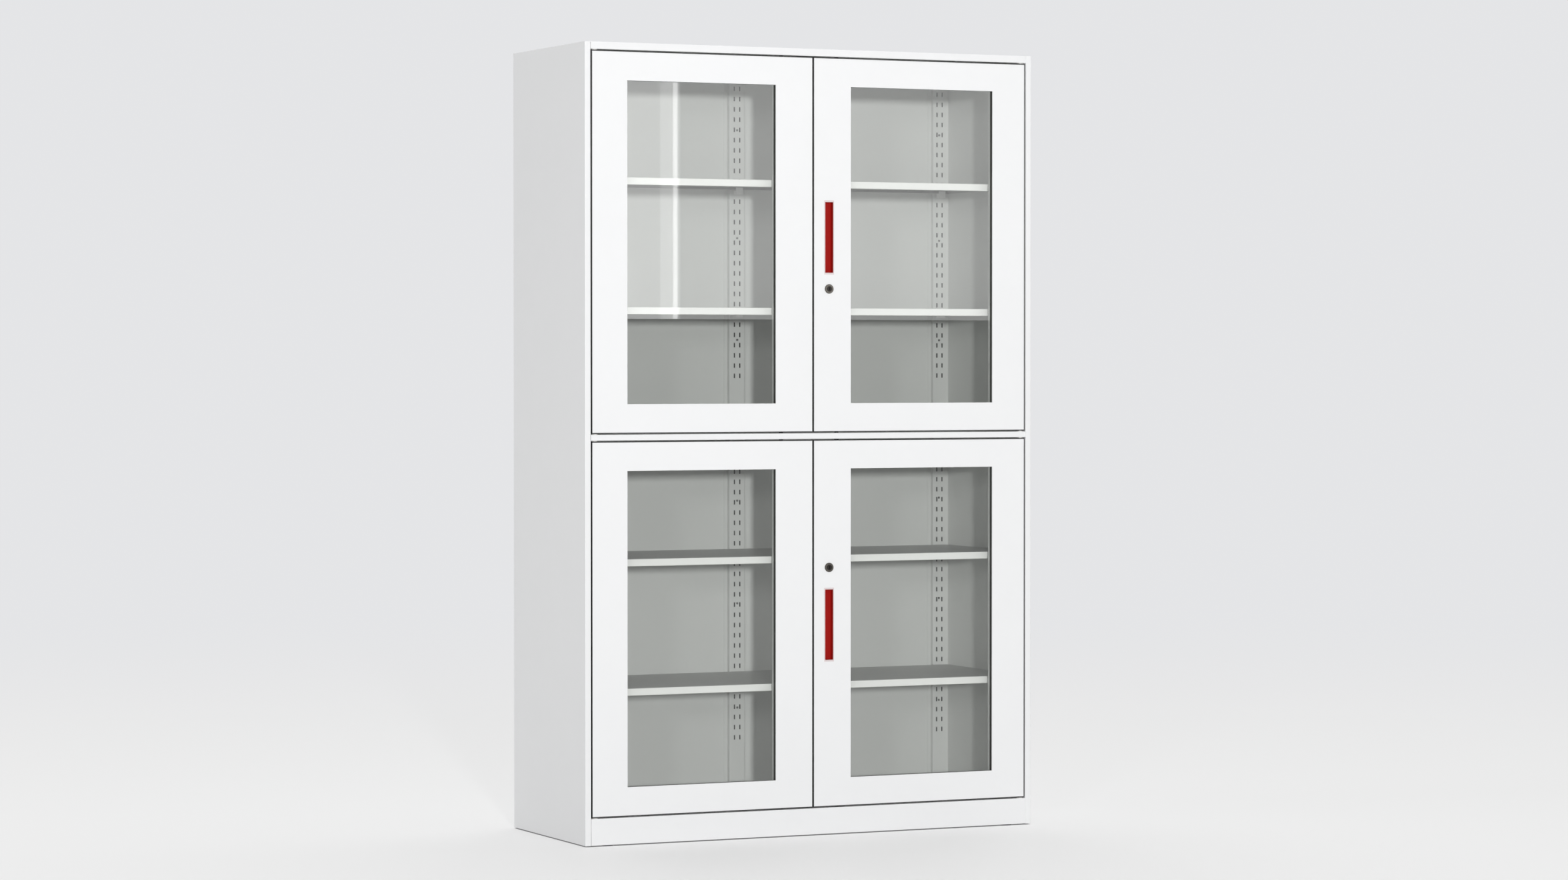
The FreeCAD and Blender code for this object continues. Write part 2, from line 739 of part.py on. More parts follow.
def front_clip():
    """Narrow bracket with one tongue in the jamb, its foot under the shelf's front edge."""
    body = start_body("front_clip", "0", "0", "0")
    height = "shelf_edge + clip_sheet - clip_rise + tongue_height / 2"
    section = start_sketch(body, "YZ_Plane")
    polygon(section, [
        ("tongue_reach", "0"), ("tongue_reach + clip_tab", "0"), ("tongue_reach + clip_tab", "clip_sheet"),
        ("tongue_reach + clip_sheet", "clip_sheet"), ("tongue_reach + clip_sheet", height),
        ("tongue_reach", height)])
    pad(body, section, "front_clip_width")
    tongue = start_sketch(body, "XZ_Plane")
    rectangle(tongue, "front_clip_width / 2 - tongue_width / 2", f"{height} - tongue_height",
              "front_clip_width / 2 + tongue_width / 2", height)
    pad(body, tongue, "tongue_reach")
    return body


def shelves_and_clips():
    """Two shelves in each tier, each on three rear clips and two front clips."""
    rear = rear_clip()
    front = front_clip()
    pieces = []
    for tier, (floor, _) in TIERS.items():
        brackets = []
        for name, slots in SHELF_SLOT_COUNTS.items():
            top = shelf_top(floor, slots)
            pieces.append(shelf(f"shelf_{tier}_{name}", top))
            corner = "sheet + upright_width - corner_slot_inset"
            spots = [(f"left_face + {across} - clip_width / 2", "front_face + web_face - clip_tab",
                      f"{top} - shelf_rear_lip - clip_drop", NO_TURN)
                     for across in (corner, "cabinet_width / 2", f"cabinet_width - ({corner})")]
            brackets.append(copies(f"rear_clips_{tier}_{name}", rear, spots))
            spots = [(f"left_face + {across} - front_clip_width / 2",
                      "front_face + jamb_depth - tongue_reach", f"{top} - shelf_edge - clip_sheet", NO_TURN)
                     for across in ("jamb_slot", "cabinet_width - jamb_slot")]
            brackets.append(copies(f"front_clips_{tier}_{name}", front, spots))
        pieces.append(gather(f"shelf_clips_{tier}", brackets))
    return pieces


def levelling_glides():
    """Four round feet on threaded stems, under the plinth and the rear apron."""
    foot = solid("Cylinder", {"Radius": "glide_radius", "Height": "glide_height"})
    stem = solid("Cylinder", {"Radius": "glide_stem_radius", "Height": "glide_height + glide_stem"})
    glide = fuse(foot, stem)
    spots = [(f"left_face + {across}", f"front_face + {depth}", "0", NO_TURN)
             for across in ("glide_inset", "cabinet_width - glide_inset")
             for depth in ("base_return / 2", "back_face - base_return / 2")]
    return [copies("levelling_glides", glide, spots)]


def pivot_bushes():
    """Flanged nylon bushes in the rails above the doors and the decks below them."""
    sleeve = solid("Cylinder", {"Radius": "bush_radius", "Height": "bush_length"})
    rim = solid("Cylinder", {"Radius": "bush_radius + bush_rim_width", "Height": "bush_rim"},
                z="-bush_rim")
    bore = solid("Cylinder", {"Radius": "pin_radius + running_gap",
                              "Height": "bush_length + bush_rim + 2 * overrun"},
                 z="-bush_rim - overrun")
    bush = cut(fuse(sleeve, rim), bore)
    spots = []
    for door in DOORS:
        x = f"{door.corner} + {door.pivot}"
        y = "front_face + pivot_setback"
        spots.append((x, y, f"{door.base} + {door.height} + door_gap", NO_TURN))
        spots.append((x, y, f"{door.base} - door_gap", HALF_TURN_X))
    return [copies("pivot_bushes", bush, spots)]


def door_buffers():
    """Rubber studs behind the top and bottom edges of each door, near its free side."""
    stud = solid("Cylinder", {"Radius": "buffer_radius", "Height": "door_gap + buffer_overlap"},
                 turn=HALF_TURN_X)
    tip = solid("Cone", {"Radius1": "buffer_radius", "Radius2": "buffer_radius - buffer_round",
                         "Height": "buffer_round"}, z="-door_gap - buffer_overlap", turn=HALF_TURN_X)
    buffer = fuse(stud, tip)
    spots = []
    for door in DOORS:
        across = "buffer_inset" if door.pull_rise else "door_width - buffer_inset"
        x = f"{door.corner} + {across}"
        y = "front_face + buffer_setback"
        spots.append((x, y, f"{door.base} + {door.height} + door_gap", NO_TURN))
        spots.append((x, y, f"{door.base} - door_gap", HALF_TURN_X))
    return [copies("door_buffers", buffer, spots)]


def door_body(kind, door):
    """Start a piece of a door, drawn from the door's lower left front corner."""
    return start_body(f"{kind}_{door.name}", door.corner, "front_face", door.base)


def pull_sides(door):
    """Opening of the recessed pull, from the door's lower left corner."""
    half = "pull_height / 2"
    return ("pull_inset - pull_width / 2", f"{door.pull_rise} - {half}",
            "pull_inset + pull_width / 2", f"{door.pull_rise} + {half}")


def door_shell(door):
    """Front pan of a door: face with its window, edges folded back, pin holes in the ends."""
    body = door_body("door_shell", door)
    outer = ("0", "0", "door_width", door.height)
    face = start_sketch(body, "XZ_Plane")
    rectangle(face, *outer)
    rectangle(face, *door.window)
    if door.pull_rise:
        rectangle(face, *grown(pull_sides(door), "(cup_wall + fit_gap)"))
        circle(face, "pull_inset", door.lock_rise, "lock_radius + fit_gap")
    pad(body, face, "door_sheet")
    walls = start_sketch(body, "XZ_Plane")
    rectangle(walls, *outer)
    rectangle(walls, *grown(outer, "-door_sheet"))
    pad(body, walls, "door_depth")
    fillet(body, "bend_radius", on_rim(outer, "0"))
    pins = start_sketch(body, "XY_Plane", "-overrun")
    circle(pins, door.pivot, "pivot_setback", "pin_radius + fit_gap")
    pocket(body, pins, f"{door.height} + 2 * overrun")
    return body


def door_liner(door):
    """Inner frame that closes the hollow stiles and presses on the glazing gasket."""
    body = door_body("door_liner", door)
    outer = grown(("0", "0", "door_width", door.height), "-door_sheet")
    face = start_sketch(body, "XZ_Plane", "door_depth - door_sheet")
    rectangle(face, *outer)
    rectangle(face, *door.window)
    if door.lock_rise:
        circle(face, "pull_inset", door.lock_rise, "lock_radius + fit_gap")
    pad(body, face, "door_sheet")
    rim = start_sketch(body, "XZ_Plane", "door_depth - liner_rim")
    rectangle(rim, *outer)
    rectangle(rim, *grown(outer, "-door_sheet"))
    pad(body, rim, "liner_rim")
    fold = start_sketch(body, "XZ_Plane", "gasket_end")
    rectangle(fold, *grown(door.window, "door_sheet"))
    rectangle(fold, *door.window)
    pad(body, fold, "door_depth - gasket_end")
    return body


def door_gasket(door):
    """Rubber channel round the glass, flush with the edge of the window."""
    body = door_body("door_gasket", door)
    ring = start_sketch(body, "XZ_Plane", "door_sheet")
    rectangle(ring, *grown(door.window, "(glass_cover + gasket_wall)"))
    rectangle(ring, *door.window)
    pad(body, ring, "gasket_end - door_sheet")
    groove = start_sketch(body, "XZ_Plane", "glass_setback")
    rectangle(groove, *grown(door.window, "glass_cover"))
    pocket(body, groove, "glass_thickness")
    return body


def door_glass(door):
    """Pane, seated in the groove of the gasket."""
    body = door_body("door_glass", door)
    pane = start_sketch(body, "XZ_Plane", "glass_setback")
    rectangle(pane, *grown(door.window, "glass_cover"))
    pad(body, pane, "glass_thickness")
    return body


def pivot_master():
    """Pin on a plate that lies inside the end of a door, the pin's axis through the origin."""
    half = "pivot_plate_width / 2"
    plate = solid("Box", {"Length": "pivot_plate_length", "Width": "pivot_plate_width",
                          "Height": "pivot_plate"}, f"-{half}", f"-{half}", "-pivot_plate")
    pin = solid("Cylinder", {"Radius": "pin_radius",
                             "Height": "pivot_plate + door_sheet + door_gap + pin_engagement"},
                z="-pivot_plate")
    return fuse(plate, pin)


def pivot_pins(door, master):
    """Top and bottom pivots of one door."""
    x = f"{door.corner} + {door.pivot}"
    y = "front_face + pivot_setback"
    upper, lower = door.plate_turns
    return copies(f"pivot_pins_{door.name}", master, [
        (x, y, f"{door.base} + {door.height} - door_sheet", upper),
        (x, y, f"{door.base} + door_sheet", lower)])


def pull_cup(door):
    """Moulded finger recess, flush with the door's face."""
    body = door_body("pull_cup", door)
    sides = pull_sides(door)
    block = start_sketch(body, "XZ_Plane")
    rectangle(block, *grown(sides, "cup_wall"))
    pad(body, block, "pull_depth")
    recess = start_sketch(body, "XZ_Plane")
    rectangle(recess, *sides)
    pocket(body, recess, "pull_depth - cup_wall")
    fillet(body, "pull_round", on_rim(sides, "pull_depth - cup_wall"))
    return body


def pull_bezel(door):
    """Thin frame on the door's face that covers the joint round the cup."""
    body = door_body("pull_bezel", door)
    left, bottom, right, top = pull_sides(door)
    outer = (f"{left} - bezel_side", f"{bottom} - bezel_end", f"{right} + bezel_side", f"{top} + bezel_end")
    frame = start_sketch(body, "XZ_Plane", "-bezel_proud")
    rectangle(frame, *outer)
    rectangle(frame, left, bottom, right, top)
    pad(body, frame, "bezel_proud")
    fillet(body, "bezel_round", on_rim(outer, "-bezel_proud"))
    return body


def round_step(body, door, start, end, radius):
    """Add a round stretch between two depths on the lock's axis."""
    sketch = start_sketch(body, "XZ_Plane", start)
    circle(sketch, "pull_inset", door.lock_rise, radius)
    pad(body, sketch, f"{end} - ({start})")


def lock_body(door):
    """Barrel of the cam lock, its rounded head against the door's face."""
    body = door_body("lock_body", door)
    round_step(body, door, "-lock_head", "0", "lock_head_radius")
    fillet(body, "lock_head_round", in_depth("-lock_head"))
    round_step(body, door, "0", "lock_end", "lock_radius")
    bore = start_sketch(body, "XZ_Plane", "-lock_head - overrun")
    circle(bore, "pull_inset", door.lock_rise, "plug_radius + running_gap")
    pocket(body, bore, "lock_end + lock_head + 2 * overrun")
    return body


def lock_plug(door):
    """Turning core with its keyway, and the tail and screw that hold the cam."""
    body = door_body("lock_plug", door)
    round_step(body, door, "-lock_proud", "lock_end + cam_gap", "plug_radius")
    round_step(body, door, "lock_end + cam_gap", "cam_back", "plug_tail_radius")
    round_step(body, door, "cam_back", "cam_back + cam_screw", "plug_radius")
    key = start_sketch(body, "XZ_Plane", "-lock_proud - overrun")
    rectangle(key, "pull_inset - keyway_width / 2", f"{door.lock_rise} - keyway_height / 2",
              "pull_inset + keyway_width / 2", f"{door.lock_rise} + keyway_height / 2")
    pocket(body, key, "keyway_depth + overrun")
    return body


def lock_cam(door):
    """Cranked tongue that hangs down when unlocked and turns behind the other door."""
    body = start_body(f"lock_cam_{door.name}", f"{door.corner} + pull_inset - cam_width / 2",
                      "front_face + cam_front", f"{door.base} + {door.lock_rise} - cam_length")
    section = start_sketch(body, "YZ_Plane")
    crown = "cam_length + cam_width / 2"
    polygon(section, [
        ("0", "0"), ("cam_thickness", "0"), ("cam_thickness", "cam_bend - cam_crank"),
        ("cam_thickness + cam_crank", "cam_bend"), ("cam_thickness + cam_crank", crown),
        ("cam_crank", crown), ("cam_crank", "cam_bend"), ("0", "cam_bend - cam_crank")])
    pad(body, section, "cam_width")
    tail = start_sketch(body, "XZ_Plane", "-overrun")
    circle(tail, "cam_width / 2", "cam_length", "plug_tail_radius + fit_gap")
    pocket(body, tail, "cam_crank + cam_thickness + 2 * overrun")
    tips = (0.0, value(crown))

    def at_the_ends(ends):
        across = len(ends) == 2 and near(ends[0].x, ends[1].x) and near(ends[0].z, ends[1].z)
        return across and any(near(ends[0].z, tip) for tip in tips)
    fillet(body, "cam_round", at_the_ends)
    return body


def lock_nut(door):
    """Hexagon nut that draws the lock against the door from behind."""
    x = f"{door.corner} + pull_inset"
    z = f"{door.base} + {door.lock_rise}"
    hexagon = solid("Prism", {"Circumradius": "nut_radius", "Height": "nut_thickness"},
                    x, "front_face + door_depth", z, ALONG_Y)
    hexagon.Polygon = 6
    bore = solid("Cylinder", {"Radius": "lock_radius + fit_gap", "Height": "nut_thickness + 2 * overrun"},
                 x, "front_face + door_depth - overrun", z, ALONG_Y)
    nut = cut(hexagon, bore)
    nut.Label = f"lock_nut_{door.name}"
    return nut


def bolt_guide(door, name, base):
    """Plate on the liner with two eyes that the bolt slides in."""
    body = door_body(f"bolt_guide_{name}", door)
    middle = "door_width - bolt_inset"
    top = f"{base} + guide_length"
    plate = start_sketch(body, "XZ_Plane", "door_depth")
    rectangle(plate, f"{middle} - guide_width / 2", base, f"{middle} + guide_width / 2", top)
    pad(body, plate, "guide_plate")
    for start in (base, f"{top} - guide_eye"):
        eye = start_sketch(body, "XY_Plane", start)
        rectangle(eye, f"{middle} - guide_half", "door_depth + guide_plate",
                  f"{middle} + guide_half", "bolt_setback + guide_half")
        pad(body, eye, "guide_eye")
    bore = start_sketch(body, "XY_Plane", f"{base} - overrun")
    circle(bore, middle, "bolt_setback", "bolt_radius + running_gap")
    pocket(body, bore, "guide_length + 2 * overrun")
    return body


def bolt(label, door, base, knob):
    """Round sliding bolt with a thumb knob."""
    x = f"{door.corner} + door_width - bolt_inset"
    y = "front_face + bolt_setback"
    rod = solid("Cylinder", {"Radius": "bolt_radius", "Height": "bolt_length"}, x, y, f"{door.base} + {base}")
    stud = solid("Cylinder", {"Radius": "bolt_knob_radius", "Height": "bolt_radius + bolt_knob_length"},
                 x, y, f"{door.base} + {knob}", ALONG_Y)
    thing = fuse(rod, stud)
    thing.Label = label
    return thing


def flush_bolts(door):
    """Guides and bolts at the top and bottom of a left door, drawn with the bolts withdrawn."""
    high = f"{door.height} - guide_margin - guide_length"
    guides = gather(f"bolt_guides_{door.name}", [
        bolt_guide(door, "top", high), bolt_guide(door, "bottom", "guide_margin")])
    middle = "guide_margin + guide_length / 2 + door_gap"
    top = bolt(f"bolt_top_{door.name}", door, f"{door.height} - bolt_withdrawn - bolt_length",
               f"{door.height} - ({middle})")
    bottom = bolt(f"bolt_bottom_{door.name}", door, "bolt_withdrawn", middle)
    return [guides, top, bottom]


def doors():
    """The four doors with their glazing, pivots, pulls, locks and bolts."""
    master = pivot_master()
    pieces = []
    for door in DOORS:
        pieces += [door_shell(door), door_liner(door), door_gasket(door), door_glass(door),
                   pivot_pins(door, master)]
    for door in RIGHT_DOORS:
        pieces += [pull_cup(door), pull_bezel(door), lock_body(door), lock_plug(door), lock_cam(door),
                   lock_nut(door)]
    for door in LEFT_DOORS:
        pieces += flush_bolts(door)
    return pieces


def check(pieces):
    """Stop if any object failed to build or any piece is empty or broken."""
    doc.recompute()
    failed = [thing.Label for thing in doc.Objects if {"Invalid", "Error"} & set(thing.State)]
    broken = [piece.Label for piece in pieces if piece.Shape.isNull() or not piece.Shape.isValid()]
    if failed or broken:
        raise ValueError(f"failed {failed}, broken {broken}")


for build in (side_panels, top_panel, middle_deck, floor_deck, plinth_board, back_panel, rear_uprights,
              shelves_and_clips, levelling_glides, pivot_bushes, door_buffers, doors):
    nodes += build()
check(nodes)
os.makedirs("parts", exist_ok=True)
for node in nodes:
    node.Shape.exportStep(f"parts/{node.Label}.step")
print(len(nodes), "pieces written")
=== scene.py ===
"""Looks of a white two-tier steel cabinet with glazed doors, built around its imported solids."""

import logging
import math
from dataclasses import dataclass, field
from enum import Enum

import bmesh
import bpy
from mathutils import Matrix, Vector


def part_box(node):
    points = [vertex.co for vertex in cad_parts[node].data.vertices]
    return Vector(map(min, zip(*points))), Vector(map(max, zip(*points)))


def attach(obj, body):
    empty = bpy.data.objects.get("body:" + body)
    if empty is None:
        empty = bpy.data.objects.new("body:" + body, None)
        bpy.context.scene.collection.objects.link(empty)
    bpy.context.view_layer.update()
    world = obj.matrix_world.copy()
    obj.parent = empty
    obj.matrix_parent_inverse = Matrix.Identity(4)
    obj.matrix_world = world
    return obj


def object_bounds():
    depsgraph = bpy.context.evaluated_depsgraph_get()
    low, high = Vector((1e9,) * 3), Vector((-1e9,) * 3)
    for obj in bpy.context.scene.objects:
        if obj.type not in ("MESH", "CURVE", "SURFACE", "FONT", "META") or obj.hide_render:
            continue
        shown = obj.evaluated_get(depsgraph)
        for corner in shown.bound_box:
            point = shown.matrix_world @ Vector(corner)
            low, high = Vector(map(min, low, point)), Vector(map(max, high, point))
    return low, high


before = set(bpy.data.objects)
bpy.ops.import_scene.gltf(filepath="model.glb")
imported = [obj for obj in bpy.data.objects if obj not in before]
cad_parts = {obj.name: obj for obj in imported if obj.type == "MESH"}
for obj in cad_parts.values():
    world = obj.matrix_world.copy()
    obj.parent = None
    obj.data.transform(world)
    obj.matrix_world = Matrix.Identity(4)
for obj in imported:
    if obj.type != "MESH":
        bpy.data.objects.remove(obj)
CAD_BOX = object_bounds()

LOG = logging.getLogger("glazed_cabinet")
MILLIMETRE = 0.001
SMOOTH_ANGLE = math.radians(35)
LEVEL_TOLERANCE = 0.01 * MILLIMETRE
LEAST_ROUGHNESS = 0.02
BROAD_DETAIL = 3.0
FINE_DETAIL = 2.0
POLISH_FINENESS = 3.0
PURE_WHITE = (1.0, 1.0, 1.0, 1.0)
BLACK = (0.0, 0.0, 0.0)
TO_FRONT = Vector((0, -1, 0))
TO_BACK = Vector((0, 1, 0))
Colour = tuple[float, float, float]
Point = tuple[float, float, float]


class Tier(Enum):
    """Upper or lower half of the cabinet."""

    UPPER = "upper"
    LOWER = "lower"


class Side(Enum):
    """Left or right door of a pair, seen from the front."""

    LEFT = "left"
    RIGHT = "right"


class End(Enum):
    """Top or bottom end of a door."""

    TOP = "top"
    BOTTOM = "bottom"


@dataclass(frozen=True)
class Finish:
    """A surface finish: an even shader with fine relief and slight changes of tone.

    Attributes:
        name: Name of the material.
        colour: Linear base colour.
        roughness: Mean roughness.
        metallic: Share of metal in the surface.
        sheen: Strength of the mirroring of a surface that is not metal.
        grain_mm: Size of the relief.
        relief_mm: Height of the relief.
        mottle: Share by which the tone wanders.
        mottle_mm: Size of the patches of tone.
        polish: Share by which the roughness wanders.
        bump: Strength of the relief.
    """

    name: str
    colour: Colour
    roughness: float
    metallic: float = 0.0
    sheen: float = 0.4
    grain_mm: float = 1.2
    relief_mm: float = 0.02
    mottle: float = 0.02
    mottle_mm: float = 90.0
    polish: float = 0.06
    bump: float = 0.35

    def material(self) -> bpy.types.Material:
        """Make the material, once.

        Returns:
            The material of this finish.
        """
        made = bpy.data.materials.get(f"finish_{self.name}")
        if made is not None:
            return made
        made = bpy.data.materials.new(f"finish_{self.name}")
        made.use_nodes = True
        shader = made.node_tree.nodes["Principled BSDF"]
        shader.inputs["Base Color"].default_value = (*self.colour, 1.0)
        shader.inputs["Roughness"].default_value = self.roughness
        shader.inputs["Metallic"].default_value = self.metallic
        shader.inputs["Specular IOR Level"].default_value = self.sheen
        self.dress(made.node_tree, shader)
        return made

    def dress(self, tree: bpy.types.NodeTree, shader: bpy.types.ShaderNode) -> None:
        """Add what makes the finish more than a flat colour.

        Args:
            tree: Node tree of the material.
            shader: Its main shader.
        """
        place = tree.nodes.new("ShaderNodeTexCoord")
        self.add_mottle(tree, shader, place)
        self.add_polish(tree, shader, place)
        self.add_relief(tree, shader, place)

    def noise(self, tree: bpy.types.NodeTree, place: bpy.types.ShaderNode, size_mm: float,
              detail: float) -> bpy.types.ShaderNode:
        """Add a noise pattern of a given size on the piece's own coordinates.

        Args:
            tree: Node tree of the material.
            place: Texture coordinate node.
            size_mm: Size of the pattern.
            detail: Octaves of finer pattern.

        Returns:
            The noise node.
        """
        pattern = tree.nodes.new("ShaderNodeTexNoise")
        pattern.inputs["Scale"].default_value = 1.0 / (size_mm * MILLIMETRE)
        pattern.inputs["Detail"].default_value = detail
        tree.links.new(place.outputs["Object"], pattern.inputs["Vector"])
        return pattern

    def add_mottle(self, tree: bpy.types.NodeTree, shader: bpy.types.ShaderNode,
                   place: bpy.types.ShaderNode) -> None:
        """Let the tone wander a little over the surface.

        Args:
            tree: Node tree of the material.
            shader: Its main shader.
            place: Texture coordinate node.
        """
        pattern = self.noise(tree, place, self.mottle_mm, BROAD_DETAIL)
        ramp = tree.nodes.new("ShaderNodeValToRGB")
        dark = tuple(channel * (1.0 - self.mottle) for channel in self.colour)
        ramp.color_ramp.elements[0].color = (*dark, 1.0)
        ramp.color_ramp.elements[1].color = (*self.colour, 1.0)
        tree.links.new(pattern.outputs["Fac"], ramp.inputs["Fac"])
        tree.links.new(ramp.outputs["Color"], shader.inputs["Base Color"])

    def add_polish(self, tree: bpy.types.NodeTree, shader: bpy.types.ShaderNode,
                   place: bpy.types.ShaderNode) -> None:
        """Let the roughness wander a little over the surface.

        Args:
            tree: Node tree of the material.
            shader: Its main shader.
            place: Texture coordinate node.
        """
        pattern = self.noise(tree, place, self.mottle_mm / POLISH_FINENESS, FINE_DETAIL)
        span = tree.nodes.new("ShaderNodeMapRange")
        span.inputs["To Min"].default_value = max(self.roughness - self.polish, LEAST_ROUGHNESS)
        span.inputs["To Max"].default_value = min(self.roughness + self.polish, 1.0)
        tree.links.new(pattern.outputs["Fac"], span.inputs["Value"])
        tree.links.new(span.outputs["Result"], shader.inputs["Roughness"])

    def add_relief(self, tree: bpy.types.NodeTree, shader: bpy.types.ShaderNode,
                   place: bpy.types.ShaderNode) -> None:
        """Raise the fine grain of the surface.

        Args:
            tree: Node tree of the material.
            shader: Its main shader.
            place: Texture coordinate node.
        """
        pattern = self.grain(tree, place)
        bump = tree.nodes.new("ShaderNodeBump")
        bump.inputs["Strength"].default_value = self.bump
        bump.inputs["Distance"].default_value = self.relief_mm * MILLIMETRE
        tree.links.new(pattern.outputs["Fac"], bump.inputs["Height"])
        tree.links.new(bump.outputs["Normal"], shader.inputs["Normal"])

    def grain(self, tree: bpy.types.NodeTree, place: bpy.types.ShaderNode) -> bpy.types.ShaderNode:
        """Add the pattern of the fine grain.

        Args:
            tree: Node tree of the material.
            place: Texture coordinate node.

        Returns:
            The node that gives the grain.
        """
        return self.noise(tree, place, self.grain_mm, FINE_DETAIL)


@dataclass(frozen=True)
class PaneGlass(Finish):
    """Clear float glass: what is behind it shows, under a reflection that grows with the slant.

    Attributes:
        tint: Colour that one face of the pane lets through.
        head_on: Share of light that one face mirrors head on.
        steepness: Power by which the mirroring grows with the slant.
        blend: Blend at which the slant is measured evenly.
    """

    tint: Colour = (0.975, 0.98, 0.975)
    head_on: float = 0.042
    steepness: float = 5.0
    blend: float = 0.5

    def dress(self, tree: bpy.types.NodeTree, shader: bpy.types.ShaderNode) -> None:
        """Lay the reflection over a clear sheet.

        Args:
            tree: Node tree of the material.
            shader: Its main shader.
        """
        through = tree.nodes.new("ShaderNodeBsdfTransparent")
        through.inputs["Color"].default_value = (*self.tint, 1.0)
        slant = tree.nodes.new("ShaderNodeLayerWeight")
        slant.inputs["Blend"].default_value = self.blend
        rise = tree.nodes.new("ShaderNodeMath")
        rise.operation = "POWER"
        rise.inputs[1].default_value = self.steepness
        share = tree.nodes.new("ShaderNodeMapRange")
        share.inputs["To Min"].default_value = self.head_on
        mix = tree.nodes.new("ShaderNodeMixShader")
        tree.links.new(slant.outputs["Facing"], rise.inputs[0])
        tree.links.new(rise.outputs["Value"], share.inputs["Value"])
        tree.links.new(share.outputs["Result"], mix.inputs["Fac"])
        tree.links.new(through.outputs["BSDF"], mix.inputs[1])
        tree.links.new(shader.outputs["BSDF"], mix.inputs[2])
        tree.links.new(mix.outputs["Shader"], tree.nodes["Material Output"].inputs["Surface"])


@dataclass(frozen=True)
class Zone:
    """Box of space in which a finish has another tone.

    Attributes:
        low: Its lowest corner, in metres.
        high: Its highest corner, in metres.
        tone: Linear colour of the finish in it.
    """

    low: Point
    high: Point
    tone: Colour

    def mask(self, tree: bpy.types.NodeTree, axes: bpy.types.ShaderNode) -> bpy.types.NodeSocket:
        """Tell points inside the zone from those outside it.

        Args:
            tree: Node tree of the material.
            axes: Node that gives the coordinates one by one.

        Returns:
            Socket that is 1 inside the zone and 0 elsewhere.
        """
        inside: bpy.types.NodeSocket | None = None
        for axis, low, high in zip("XYZ", self.low, self.high):
            span = tree.nodes.new("ShaderNodeMath")
            span.operation = "COMPARE"
            span.inputs[1].default_value = (low + high) / 2
            span.inputs[2].default_value = (high - low) / 2
            tree.links.new(axes.outputs[axis], span.inputs[0])
            if inside is None:
                inside = span.outputs["Value"]
                continue
            both = tree.nodes.new("ShaderNodeMath")
            both.operation = "MULTIPLY"
            tree.links.new(inside, both.inputs[0])
            tree.links.new(span.outputs["Value"], both.inputs[1])
            inside = both.outputs["Value"]
        return inside


@dataclass(frozen=True)
class ZonedFinish(Finish):
    """Finish of a sheet whose tone changes in boxes of space, for painted shade on some of its
    faces.

    Attributes:
        zones: Where the tone differs, as painted shade.
    """

    zones: tuple[Zone, ...] = ()

    def add_mottle(self, tree: bpy.types.NodeTree, shader: bpy.types.ShaderNode,
                   place: bpy.types.ShaderNode) -> None:
        """Let the tone wander a little, and change it in the zones.

        Args:
            tree: Node tree of the material.
            shader: Its main shader.
            place: Texture coordinate node.
        """
        super().add_mottle(tree, shader, place)
        colour = shader.inputs["Base Color"].links[0].from_socket
        axes = tree.nodes.new("ShaderNodeSeparateXYZ")
        tree.links.new(place.outputs["Object"], axes.inputs["Vector"])
        for zone in self.zones:
            blend = tree.nodes.new("ShaderNodeMix")
            blend.data_type = "RGBA"
            blend.inputs["B"].default_value = (*zone.tone, 1.0)
            tree.links.new(zone.mask(tree, axes), blend.inputs["Factor"])
            tree.links.new(colour, blend.inputs["A"])
            colour = blend.outputs["Result"]
        tree.links.new(colour, shader.inputs["Base Color"])


@dataclass(frozen=True)
class BrushedMetal(Finish):
    """Plated or brushed metal with its grain drawn out into fine lines.

    Attributes:
        stretch: How much finer the grain is along each axis.
    """

    bump: float = 0.3
    stretch: Point = (1.0, 1.0, 12.0)

    def grain(self, tree: bpy.types.NodeTree, place: bpy.types.ShaderNode) -> bpy.types.ShaderNode:
        """Add the pattern of the drawn-out grain.

        Args:
            tree: Node tree of the material.
            place: Texture coordinate node.

        Returns:
            The node that gives the grain.
        """
        draw_out = tree.nodes.new("ShaderNodeMapping")
        draw_out.inputs["Scale"].default_value = self.stretch
        tree.links.new(place.outputs["Object"], draw_out.inputs["Vector"])
        pattern = super().grain(tree, place)
        tree.links.new(draw_out.outputs["Vector"], pattern.inputs["Vector"])
        return pattern


CASE_ROUGHNESS = 0.42
PAINT_RELIEF_MM = 0.03
WHITE_TONE = (0.85, 0.855, 0.86)
# Grey that stands in for the shade inside the cabinet: painted shade on its inner faces.
INSIDE_SHADE_TONE = (0.72, 0.73, 0.715)
# Near black that stands in for the shade seen through the slots of the uprights: painted shade.
SLOT_SHADE_TONE = (0.03, 0.03, 0.03)
SHELF_TONE = (0.87, 0.875, 0.855)
# Grey for the shelf tops behind their lips: painted shade, where the tops get little light.
SHELF_DECK_SHADE_TONE = (0.5, 0.505, 0.495)
DOOR_PAINT = Finish("door_paint", (0.86, 0.865, 0.87), 0.4, relief_mm=PAINT_RELIEF_MM)
